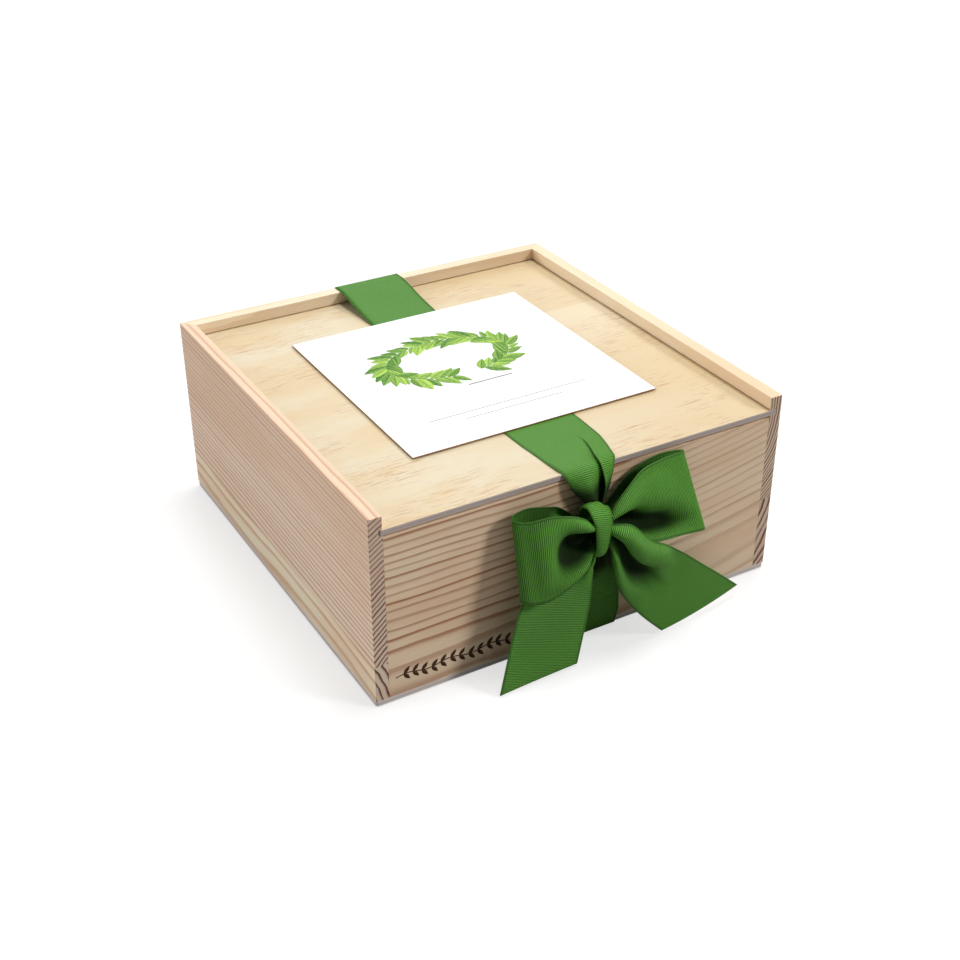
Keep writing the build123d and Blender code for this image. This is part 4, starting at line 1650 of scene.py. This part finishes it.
    def loop_right(self) -> Band:
        """The right loop of the bow, whose front layer leans back at the top.

        Returns:
            The loop.
        """
        upper = [
            (1.0, 6.0, 71.0), (6.4, 4.5, 75.6), (17.3, 3.2, 86.2), (27.0, 2.8, 91.4), (38.0, 2.6, 93.8),
            (47.0, 2.8, 93.4), (51.4, 3.8, 92.8), (48.8, 5.4, 93.2), (38.7, 6.2, 93.3), (25.1, 8.0, 92.1),
            (14.9, 10.0, 85.8), (6.1, 10.6, 76.9), (1.0, 9.5, 70.0),
        ]
        lower = [
            (1.0, 6.0, 66.0), (6.4, 4.5, 64.7), (17.3, 3.4, 59.9), (27.0, 4.4, 56.8), (38.0, 8.0, 54.8),
            (49.0, 13.0, 54.3), (56.1, 18.6, 54.8), (53.4, 20.6, 55.1), (43.2, 20.0, 55.7),
            (28.1, 17.2, 55.2), (16.3, 14.6, 57.5), (6.4, 11.6, 63.9), (1.0, 9.0, 66.0),
        ]
        folds = [
            *([[0.0, 0.1, 0.2, 0.1, -0.1, -0.2, -0.1, 0.1, 0.2, 0.1, 0.0]] * 2),
            [0.0, 0.1, 0.1, 0.1, 0.0, -0.1, 0.0, 0.1, 0.1, 0.1, 0.0],
            *([[0.0] * 11] * 5),
            [0.0, 0.0, 0.05, 0.1, 0.15, 0.15, 0.05, -0.2, -0.4, -0.2, 0.0],
            [0.0, 0.1, 0.3, 0.4, 0.4, 0.2, -0.4, -1.1, -1.1, -0.3, 0.1],
            [0.0, 0.3, 0.6, 0.6, 0.1, -0.8, -1.4, -1.4, -0.7, 0.2, 0.0],
            [0.0, 0.3, 0.5, 0.3, -0.5, -1.0, -1.1, -0.8, -0.2, 0.2, 0.0],
            [0.0, 0.1, 0.2, 0.1, -0.3, -0.5, -0.5, -0.3, 0.1, 0.1, 0.0],
        ]
        # Painted shade along the run, as shares by place from its start to its end
        under = [(0.0, 0.9), (0.2, 0.6), (0.5, 0.1), (0.78, 0.05), (0.88, 0.35), (0.95, 1.0), (1.0, 1.0)]
        return Band(
            "bow_loop_right_cloth", on_front(upper), on_front(lower), folds,
            outside=-1.0, deepest=8.0, ease=1.15, under=under, rows=260,
        )

    def tail_right(self) -> Band:
        """The right tail, which rolls forward along its upper edge near the knot.

        Both edges are read at the same lengths, so that the ribs stay square to the ribbon.

        Returns:
            The tail.
        """
        upper = [
            (0.5, 11.0, 70.5), (4.3, 14.5, 71.6), (9.8, 17.0, 71.2), (14.2, 19.0, 69.8),
            (17.9, 19.8, 65.7), (22.2, 20.0, 60.4), (29.1, 19.8, 56.2), (34.3, 19.5, 52.6),
            (45.6, 18.3, 43.7), (57.3, 17.0, 33.3), (72.1, 15.0, 20.2), (87.5, 13.0, 6.1),
        ]
        lower = [
            (1.0, 11.0, 62.5), (4.6, 13.6, 59.2), (4.1, 16.0, 52.2), (3.6, 18.0, 45.7),
            (4.8, 19.3, 40.6), (6.3, 20.0, 35.8), (11.2, 20.3, 28.0), (17.5, 20.5, 19.5),
            (25.2, 20.7, 10.7), (33.7, 20.8, 2.0),
        ]
        marks = np.append(0.0, 5.3 + np.linspace(0.0, 108.0, 13))
        even = np.linspace(0.0, 1.0, 11)
        roll = np.array([0.0, 0.02, 0.07, 0.12, 0.03, -0.05, -0.04, 0.0, 0.0, 0.0, 0.0])
        rolled = [0.0, 0.6, 1.0, 1.0, 0.8, 0.4, 0.1] + [0.0] * 7
        folds = [
            [0.0, 0.1, 0.2, 0.0, -0.3, -0.5, -0.4, -0.1, 0.1, 0.1, 0.0],
            [0.0, 0.3, 0.4, 0.2, -0.8, -1.2, -1.0, -0.3, 0.2, 0.2, 0.0],
            [0.0, 0.6, 0.8, 0.35, -0.8, -1.3, -1.0, -0.2, 0.4, 0.4, 0.0],
            [0.0, 0.55, 0.75, 0.25, -0.8, -1.2, -1.0, -0.3, 0.2, 0.3, 0.0],
            [0.0, 0.4, 0.55, 0.2, -0.6, -1.0, -0.8, -0.3, 0.1, 0.2, 0.0],
            [0.0, 0.4, 0.5, 0.2, -0.3, -0.5, -0.4, -0.1, 0.1, 0.1, 0.0],
            [0.0, 0.1, 0.2, 0.1, 0.0, -0.2, -0.1, 0.0, 0.1, 0.1, 0.0],
            *([[0.0] * 11] * 7),
        ]
        shares = [(even + roll * part).tolist() for part in rolled]
        # Painted shade along the run, as shares by place from its start to its end
        under = [(0.0, 1.0), (0.06, 0.6), (0.14, 0.35), (0.4, 0.3), (0.55, 0.12), (1.0, 0.12)]
        edges = [by_length(on_front(edge), marks) for edge in (upper, lower)]
        return Band(
            "bow_tail_right_cloth", *edges, folds, shares,
            deepest=8.0, ease=1.1, cut=(1.0, 0.6585), under=under, rows=200,
        )

    def tail_left(self) -> Band:
        """The left tail, which hangs nearly flat and is cut off at a slant.

        Returns:
            The tail.
        """
        left = [
            (-4.5, 9.0, 64.0), (-8.6, 10.6, 58.7), (-14.0, 11.7, 55.2), (-21.8, 12.2, 52.9),
            (-29.5, 12.8, 51.0), (-36.2, 13.4, 48.3), (-42.0, 14.2, 46.2), (-46.2, 15.4, 42.5),
            (-51.3, 18.0, 32.0), (-56.5, 20.3, 16.5), (-61.4, 22.5, 1.1),
        ]
        right = [
            (-2.0, 11.0, 61.0), (-2.6, 12.0, 58.7), (-3.6, 12.6, 54.0), (-4.7, 13.0, 50.5),
            (-4.9, 13.6, 47.0), (-5.6, 14.2, 43.0), (-6.6, 15.4, 37.5), (-8.4, 16.8, 30.5),
            (-12.4, 18.8, 17.0), (-17.2, 21.0, 2.0), (-22.0, 22.5, -13.0),
        ]
        folds = [
            [0.0, 0.1, 0.2, 0.1, -0.2, -0.5, -0.4, 0.0, 0.1, 0.1, 0.0],
            [0.0, 0.2, 0.4, 0.2, -0.4, -0.9, -0.6, 0.0, 0.3, 0.2, 0.0],
            [0.0, 0.5, 0.9, 0.4, -0.3, -0.8, -0.6, 0.1, 0.5, 0.4, 0.0],
            [0.0, 0.3, 0.6, 0.3, -0.2, -0.6, -0.5, 0.1, 0.5, 0.4, 0.0],
            [0.0, 0.2, 0.3, 0.2, 0.0, -0.3, -0.4, 0.0, 0.4, 0.3, 0.0],
            [0.0, 0.1, 0.1, 0.1, 0.0, -0.1, -0.2, 0.0, 0.2, 0.2, 0.0],
            *([[0.0] * 11] * 5),
        ]
        # Painted shade along the run, as shares by place from its start to its end
        under = [(0.0, 1.0), (0.15, 0.8), (0.35, 0.35), (0.5, 0.2), (0.8, 0.16), (1.0, 0.08)]
        return Band(
            "bow_tail_left_cloth", on_front(left), on_front(right), folds,
            outside=-1.0, deepest=6.0, cut=(1.0, 0.9), under=under, rows=200,
        )

    def front_run(self) -> Band:
        """The run from the knot down the front wall, gathered at its top.

        Returns:
            The run.
        """
        left = [
            (-4.0, 4.0, 66.0), (-5.5, 2.6, 58.0), (-8.5, 2.2, 51.3), (-12.0, 2.0, 45.6), (-14.8, 1.9, 39.4),
            (-17.0, 1.9, 32.6), (-19.0, 1.6, 26.4), (-20.4, 1.3, 20.1), (-21.2, 1.0, 14.0), (-21.4, 0.8, 8.3),
            (-21.4, 0.45, 0.5),
        ]
        right = [
            (6.0, 4.0, 66.0), (8.6, 2.6, 58.0), (10.9, 2.2, 51.3), (13.4, 2.0, 45.6), (14.2, 1.9, 39.4),
            (16.0, 1.9, 32.6), (17.8, 1.6, 26.4), (19.5, 1.3, 20.1), (20.2, 1.0, 14.0), (20.4, 0.8, 8.3),
            (18.8, 0.45, 0.5),
        ]
        full = [0.0, 0.4, 0.8, 0.3, -0.6, -1.0, -0.6, 0.3, 0.8, 0.4, 0.0]
        soft = [0.0, 0.2, 0.4, 0.2, -0.2, -0.4, -0.2, 0.2, 0.4, 0.2, 0.0]
        folds = [full] * 5 + [soft] * 3 + [[0.0] * 11] * 3
        # Painted shade along the run, as shares by place from its start to its end
        under = [(0.0, 1.4), (0.36, 1.3), (0.44, 0.7), (0.52, 0.1), (0.6, 0.0), (1.0, 0.0)]
        return Band(
            "ribbon_front_cloth", on_front(left), on_front(right), folds,
            outside=-1.0, deepest=2.6, under=under, rows=160,
        )

    def knot(self) -> Band:
        """The wrap round the middle of the bow, folded to less than half its width.

        Returns:
            The wrap.
        """
        left = [
            (-5.0, 4.0, 61.0), (-5.8, 3.0, 69.0), (-7.0, 5.0, 77.0), (-7.4, 10.0, 80.6), (-8.2, 15.4, 79.6),
            (-7.4, 17.3, 74.0), (-6.2, 16.8, 67.0), (-4.8, 14.4, 59.8), (-4.6, 9.0, 57.5),
        ]
        right = [
            (2.4, 4.0, 59.0), (3.4, 3.5, 67.0), (4.2, 5.0, 75.0), (4.8, 9.4, 78.6), (5.0, 13.2, 75.2),
            (4.9, 14.2, 69.6), (4.3, 14.0, 64.0), (2.6, 13.0, 57.2), (2.0, 8.5, 55.4),
        ]
        share = [
            1.0, 0.8, 0.5, 0.2, 0.0, -0.05, 0.0, 0.14, 0.32, 0.5, 0.62, 0.66, 0.6, 0.35, 0.1, 0.05,
            0.2, 0.45,
        ]
        lift = [0.0, 0.5, 0.5, 0.4, 0.5, 1.1, 1.9, 2.6, 2.9, 2.8, 2.4, 1.9, 1.6, 1.8, 1.5, 1.2, 0.9, 0.9]
        return Band(
            "bow_knot_cloth", on_front(left), on_front(right), [lift] * 9, [share] * 9,
            outside=-1.0, filled=False, ring=True, rows=120, columns=90,
        )

    def build(self) -> None:
        """Build every run, dress it and log its length."""
        material = RibbonFinish().build(self.groups)
        runs = [
            (self.under_run(), Body.BOX, "ribbon_under_run", "stretched", ["base_panel"]),
            (self.back_run(), Body.BOX, "ribbon_back_run", "stretched", ["back_panel"]),
            (self.top_run(), Body.LID, "ribbon_top_run", "stretched", ["lid_panel", "back_panel"]),
            (self.front_gather(), Body.LID, "ribbon_front_gather", "gathered", ["lid_panel"]),
            (self.front_run(), Body.LID, "ribbon_front_run", "gathered", ["front_panel"]),
            (self.loop_left(), Body.LID, "bow_loop_left", "folded", ["front_panel"]),
            (self.loop_right(), Body.LID, "bow_loop_right", "folded", ["front_panel"]),
            (self.tail_left(), Body.LID, "bow_tail_left", "hung", ["bow_knot"]),
            (self.tail_right(), Body.LID, "bow_tail_right", "hung", ["bow_knot"]),
            (self.knot(), Body.LID, "bow_knot", "folded", ["front_panel"]),
        ]
        for band, body, node, held, rests_on in runs:
            piece, length = band.build()
            dress(piece, body, Slot.RIBBON, material, [node])
            flat_area = band.width * MM * length * (band.cut[0] + band.cut[1]) / 2 / max(band.cut)
            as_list(rests_on)
            log.info("%s: %.1f mm long", band.name, length * MM_PER_METRE)


# Drawn shapes on the card and the front

@dataclass(frozen=True)
class LeafSpray:
    """Many small leaves as one mesh, each a shallow dome on a flat ground.

    Attributes:
        name: Name of the piece.
        places: Foot of each leaf on the ground, in millimetres.
        turns: Way that each leaf points, in radians.
        lengths: Length of each leaf in millimetres.
        widths: Greatest width of each leaf in millimetres.
        shades: Shade of each leaf from 0 to 1.
        dome: Height of a leaf's middle in millimetres.
        vein: How much lighter the vein and the rim of a leaf are, darker where it is negative.
        rows: Points along a leaf.
        columns: Points across a leaf.
        lift: Height of a leaf's rim over the ground in millimetres.
        layers: Number of layers that the leaves lie in, one over another.
        layer: Height of a layer in millimetres.
    """

    name: str
    places: Array
    turns: Array
    lengths: Array
    widths: Array
    shades: Array
    dome: float = 0.05
    vein: float = 0.3
    rows: int = 15
    columns: int = 9
    lift: float = 0.01
    layers: int = 7
    layer: float = 0.006

    def build(self, ground: Ground) -> Piece:
        """Build the leaves.

        Formula: at share t of a leaf's length, the half width is w sin(pi t^0.8)^0.9 / 2. With s
        from -1 to 1 across, the height is dome (1 - s^2) sin(pi t)^0.5. The vein's shade is a bell
        curve of s, the rim's goes with s^6, and side ribs run off the vein as a cosine.

        Args:
            ground: Carries points over the ground in millimetres to the frame in metres.

        Returns:
            The leaves as one piece.
        """
        t = np.linspace(0.0, 1.0, self.rows)[None, :, None]
        s = np.linspace(-1.0, 1.0, self.columns)[None, None, :]
        half = self.widths[:, None, None] / 2 * np.sin(math.pi * t**0.8) ** 0.9
        out = self.lengths[:, None, None] * t + 0.0 * s
        side = half * s
        cos, sin = np.cos(self.turns)[:, None, None], np.sin(self.turns)[:, None, None]
        x = self.places[:, 0, None, None] + out * cos - side * sin
        y = self.places[:, 1, None, None] + out * sin + side * cos
        number = np.arange(len(self.turns))[:, None, None]
        stack = self.layer * (number % self.layers)
        z = self.dome * (1 - s**2) * np.sin(math.pi * t) ** 0.5 + stack + self.lift
        points = np.stack([x, y, z + 0.0 * x], axis=-1)
        veins = self.vein * (np.exp(-((s / 0.12) ** 2)) + 0.8 * np.abs(s) ** 6)
        ribs = 0.1 * np.cos((t * 9 - np.abs(s) * 1.6) * math.pi) + 0.12 * np.sign(s)
        shade = np.clip(self.shades[:, None, None] + veins + ribs + 0.0 * x, 0.0, 1.0)
        one = grid_faces(self.rows, self.columns)[:, ::-1]
        faces = (one[None] + number * self.rows * self.columns).reshape(-1, 4)
        piece = mesh_object(self.name, ground(points.reshape(-1, 3)), faces.tolist())
        store_values(piece, "shade", shade)
        return piece


def stroke(name: str, line: Array, width: Array, shade: float, ground: Ground) -> Piece:
    """A drawn line as a thin strip.

    Formula: each point of the line moves to both sides by half its width, square to the line. The
    strip's sides stand a little over the ground, and its middle is a ridge over them.

    Args:
        name: Name of the piece.
        line: Points of the line on the ground in millimetres.
        width: Width at each point in millimetres.
        shade: Shade of the whole line.
        ground: Carries points over the ground in millimetres to the frame in metres.

    Returns:
        The strip.
    """
    way = np.gradient(line, axis=0)
    way /= np.linalg.norm(way, axis=1, keepdims=True)
    side = np.stack([-way[:, 1], way[:, 0]], axis=1) * width[:, None] / 2
    lift, ridge = 0.012, 0.02
    s = np.linspace(-1.0, 1.0, 3)
    flat = line[:, None] + side[:, None] * s[None, :, None]
    height = lift + ridge * (1 - s**2)
    points = np.concatenate([flat, np.broadcast_to(height[None, :, None], (*flat.shape[:2], 1))], axis=2)
    faces = grid_faces(len(line), len(s))[:, ::-1]
    piece = mesh_object(name, ground(points.reshape(-1, 3)), faces.tolist())
    store_values(piece, "shade", np.full(len(line) * len(s), shade))
    return piece


@dataclass
class GiftCard:
    """The white card glued on the ribbon, with a printed wreath and plain lines, in millimetres.

    A plain line is given by its middle, its length and its width.
    """

    groups: Groups
    middle: tuple[float, float] = (-3.0, 15.0)
    reach: tuple[float, float] = (35.0, 21.0)
    leaves: int = 84
    leaf_length: float = 12.0
    leaf_turn: float = 0.75
    open_share: float = 0.04
    stem_points: int = 240
    stem_width: float = 0.7
    rule_points: int = 40
    rule_rows: tuple[tuple[float, float, float, float], ...] = (
        (4.0, -18.0, 26.0, 0.9),
        (0.0, -43.0, 92.0, 0.45),
        (0.0, -49.0, 56.0, 0.45),
    )

    def on_card(self, points: Array) -> Array:
        """Points over the card's face in millimetres, carried to the frame in metres."""
        return (points + np.array([0.0, 0.0, CARD_TOP])) * MM

    def wreath(self) -> list[Piece]:
        """The printed wreath: two rows of leaves on an oval stem that is open at the bottom.

        Formula: the stem is an ellipse, and the leaves lean off its tangent by turns to one side
        and to the other.

        Returns:
            The leaves and the stem.
        """
        random = np.random.default_rng(5)
        count = self.leaves
        share = np.linspace(self.open_share, 1.0 - self.open_share, count)
        angle = -math.pi / 2 + share * 2 * math.pi
        foot = np.stack([np.cos(angle) * self.reach[0], np.sin(angle) * self.reach[1]], axis=1) + self.middle
        way = np.arctan2(np.cos(angle) * self.reach[1], -np.sin(angle) * self.reach[0])
        side = np.where(np.arange(count) % 2 == 0, 1.0, -1.0)
        turns = way + side * (self.leaf_turn + random.uniform(-0.2, 0.2, count))
        lengths = self.leaf_length + random.uniform(-4.0, 3.5, count)
        widths = lengths * random.uniform(0.36, 0.5, count)
        shades = random.uniform(0.25, 0.8, count)
        spray = LeafSpray("card_print_leaves", foot, turns, lengths, widths, shades, vein=-0.45)
        leaves = spray.build(self.on_card)
        dense = spline_weights(count, self.stem_points) @ foot
        stem_widths = np.full(self.stem_points, self.stem_width)
        stem = stroke("card_print_stem", dense, stem_widths, shade=0.2, ground=self.on_card)
        return [leaves, stem]

    def rules(self) -> list[Piece]:
        """The plain lines of the print.

        Returns:
            The lines.
        """
        made = []
        for number, (x, y, length, width) in enumerate(self.rule_rows, start=1):
            along = np.linspace(-length / 2, length / 2, self.rule_points)
            line = np.stack([x + along, np.full(self.rule_points, y)], axis=1)
            widths = np.full(self.rule_points, width)
            name = f"card_print_rule_{number}"
            made.append(stroke(name, line, widths, shade=0.3, ground=self.on_card))
        return made

    def build(self) -> None:
        """Dress the card and its glue, and build the print."""
        # The card's brown edge colour is partly a laser-cut edge and partly painted shadow and reflected wood
        # colour along its edges
        paper = PaperFinish("card", (0.96, 0.96, 0.955), (0.30, 0.15, 0.06), 0.4)
        dress_node("card", paper.build(self.groups))
        dress_node("card_glue_dots", PlainFinish("glue", (0.75, 0.72, 0.62), 0.25).build(self.groups))
        green = InkFinish("printed green", (0.035, 0.17, 0.03), (0.50, 0.75, 0.14)).build()
        grey = InkFinish("printed grey", (0.12, 0.12, 0.13), (0.3, 0.3, 0.32)).build()
        for piece in self.wreath():
            dress(piece, Body.LID, Slot.CARD, green)
        for piece in self.rules():
            dress(piece, Body.LID, Slot.CARD, grey)


@dataclass
class BurntVine:
    """A small vine burnt into the front wall, low down at the left, in millimetres and radians."""

    start: tuple[float, float] = (-104.5, 13.5)
    length: float = 63.0
    pairs: int = 12
    sway: float = 0.9
    wave: float = 23.0
    stem_width: float = 0.65
    stem_points: int = 120
    leaf_length: float = 5.0
    leaf_share: float = 0.42
    leaf_turn: float = 0.85

    def on_wall(self, points: Array) -> Array:
        """Points over the front wall as x, z and height in millimetres, carried to the frame in metres."""
        return np.stack([points[:, 0], FRONT_FACE - points[:, 2], points[:, 1]], axis=1) * MM

    def build(self) -> None:
        """Build the stem and its leaves.

        Formula: the stem's height is a sine of x and it thins toward its far end. The leaves stand
        on it in pairs, one to each side.
        """
        x = np.linspace(0.0, self.length, self.stem_points)
        z = self.start[1] + self.sway * np.sin(2 * math.pi * x / self.wave)
        line = np.stack([self.start[0] + x, z], axis=1)
        width = self.stem_width * np.minimum(1.0, (self.length - x) / 8 + 0.3)
        stem = stroke("burnt_vine_stem", line, width, shade=0.3, ground=self.on_wall)
        places = np.linspace(8, self.stem_points - 8, self.pairs).astype(int)
        foot = np.repeat(line[places], 2, axis=0)
        side = np.tile([1.0, -1.0], self.pairs)
        size = np.full(len(foot), self.leaf_length)
        turns, widths, shades = side * self.leaf_turn, size * self.leaf_share, np.full(len(foot), 0.25)
        spray = LeafSpray("burnt_vine_leaves", foot, turns, size, widths, shades, dome=0.03, vein=-0.25)
        leaves = spray.build(self.on_wall)
        burnt = InkFinish("burnt pine", (0.035, 0.014, 0.008), (0.22, 0.10, 0.05), 0.8).build()
        for piece in (stem, leaves):
            dress(piece, Body.BOX, Slot.PINE, burnt)


@dataclass
class Contents:
    """What the box holds under its lid, and the brads that hold its base."""

    groups: Groups
    sets: int = 4
    marker_low: float = 68.3
    marker_thickness: float = 1.6

    def build(self) -> None:
        """Dress the liner, pots, discs, leaflet, packets, markers and brads."""
        groups = self.groups
        coir = FibreFinish("coir", (0.16, 0.085, 0.04), (0.42, 0.27, 0.14), 1.1).build(groups)
        soil = FibreFinish("growing disc", (0.055, 0.032, 0.018), (0.16, 0.10, 0.055), 1.6).build(groups)
        kraft = PaperFinish("kraft paper", (0.46, 0.31, 0.19), (0.36, 0.24, 0.14), 0.75).build(groups)
        leaflet = PaperFinish("leaflet paper", (0.85, 0.86, 0.80), (0.7, 0.7, 0.65), 0.55).build(groups)
        marker = PlywoodFinish("marker wood", 61.0, (0.74, 0.58, 0.38), (0.5, 0.3, 0.15), (0.6, 0.44, 0.28))
        wood = marker.build(groups, self.marker_low, self.marker_thickness)
        dress_node("planter_liner", PlainFinish("liner", (0.018, 0.018, 0.02), 0.42).build(groups))
        dress_node("base_brads", PlainFinish("steel", (0.55, 0.55, 0.56), 0.35, 1.0).build(groups))
        dress_node("growing_guide", leaflet)
        for number in range(1, self.sets + 1):
            dress_node(f"coir_pot_{number}", coir)
            dress_node(f"soil_disc_{number}", soil)
            dress_node(f"seed_packet_{number}", kraft)
            dress_node(f"plant_marker_{number}", wood)


@dataclass
class Studio:
    """Pale floor, soft light and the camera of the photograph.

    The floor's brightness is one value to the camera and another, bounce, to the light it sends
    back. The camera's turn, tilt and roll are in degrees, and it stands at a place in metres.
    """

    sky: float = 0.15
    bounce: float = 0.38
    floor_seen: float = 0.40
    floor_glow: float = 0.64
    floor_half: float = 8.0
    lens: float = 54.57
    sensor: float = 36.0
    stand: Point = (-0.33578, -0.59635, 0.44258)
    turn: float = -29.953
    tilt: float = 58.846
    roll: float = -0.155

    def build_floor(self) -> None:
        """Build the floor, white to the camera and greyer to the light that it sends back."""
        half = self.floor_half
        points = np.array([(-half, -half, 0.0), (half, -half, 0.0), (half, half, 0.0), (-half, half, 0.0)])
        floor = mesh_object("floor", points, [(0, 1, 2, 3)], smooth=False)
        material, nodes, shader = new_material("floor", roughness=0.9, specular=0.0)
        seen = nodes.add("ShaderNodeLightPath").outputs["Is Camera Ray"]
        colour = nodes.mix(seen, (self.bounce,) * 3, (self.floor_seen,) * 3)
        glow = nodes.times(seen, self.floor_glow)
        nodes.fill(shader, Base_Color=colour, Emission_Strength=glow, Emission_Color=(1.0, 1.0, 1.0))
        floor.data.materials.append(material)

    def build_sky(self) -> None:
        """Build the even light of the room, white to the camera."""
        world = bpy.data.worlds.new("room")
        world.use_nodes = True
        bpy.context.scene.world = world
        nodes = Nodes(world.node_tree)
        sheet = next(node for node in world.node_tree.nodes if node.type == "BACKGROUND")
        seen = nodes.add("ShaderNodeLightPath").outputs["Is Camera Ray"]
        nodes.fill(sheet, Color=(1.0, 1.0, 1.0), Strength=nodes.math("MAXIMUM", seen, self.sky))

    def add_sun(self, name: str, way: Point, strength: float, spread: float, colour: Colour) -> None:
        """Add a wide, soft lamp.

        Args:
            name: Name of the lamp.
            way: Way from the object to the lamp.
            strength: Strength of the lamp.
            spread: Width of the lamp in degrees.
            colour: Colour of its light.
        """
        lamp = bpy.data.lights.new(name, "SUN")
        lamp.energy = strength
        lamp.angle = math.radians(spread)
        lamp.color = colour
        holder = bpy.data.objects.new(name, lamp)
        flat = math.hypot(way[0], way[1])
        holder.rotation_euler = (math.atan2(flat, way[2]), 0.0, math.atan2(way[0], -way[1]))
        bpy.context.scene.collection.objects.link(holder)

    def build_camera(self) -> None:
        """Build the camera where the photograph was taken from."""
        camera = bpy.data.cameras.new("camera")
        camera.lens = self.lens
        camera.sensor_width = self.sensor
        camera.clip_start = 0.01
        camera.clip_end = 50.0
        holder = bpy.data.objects.new("camera", camera)
        turn = Matrix.Rotation(math.radians(self.turn), 4, "Z")
        tilt = Matrix.Rotation(math.radians(self.tilt), 4, "X")
        roll = Matrix.Rotation(math.radians(self.roll), 4, "Z")
        holder.matrix_world = Matrix.Translation(self.stand) @ turn @ tilt @ roll
        bpy.context.scene.collection.objects.link(holder)
        bpy.context.scene.camera = holder

    def build(self) -> None:
        """Build the floor, the light and the camera."""
        bpy.context.scene.view_settings.view_transform = "Standard"
        self.build_floor()
        self.build_sky()
        self.add_sun("key", (0.20, 0.05, 1.0), strength=1.8, spread=20.0, colour=(1.0, 0.99, 0.965))
        self.add_sun("rim", (0.42, 0.75, 0.55), strength=0.75, spread=40.0, colour=(1.0, 1.0, 1.0))
        self.add_sun("front", (1.0, -1.0, 0.95), strength=1.4, spread=14.0, colour=(1.0, 0.985, 0.965))
        self.add_sun("fill", (-1.0, 0.50, 0.40), strength=1.4, spread=50.0, colour=(1.0, 0.975, 0.975))
        self.build_camera()


def main() -> None:
    """Build the object and its studio in order."""
    logging.basicConfig(level=logging.INFO, format="%(name)s: %(message)s")
    groups = Groups()
    PineBox(groups).build()
    PlyPanels(groups).build()
    Contents(groups).build()
    GiftRibbon(groups).build()
    GiftCard(groups).build()
    BurntVine().build()
    Studio().build()


if __name__ == "__main__":
    main()
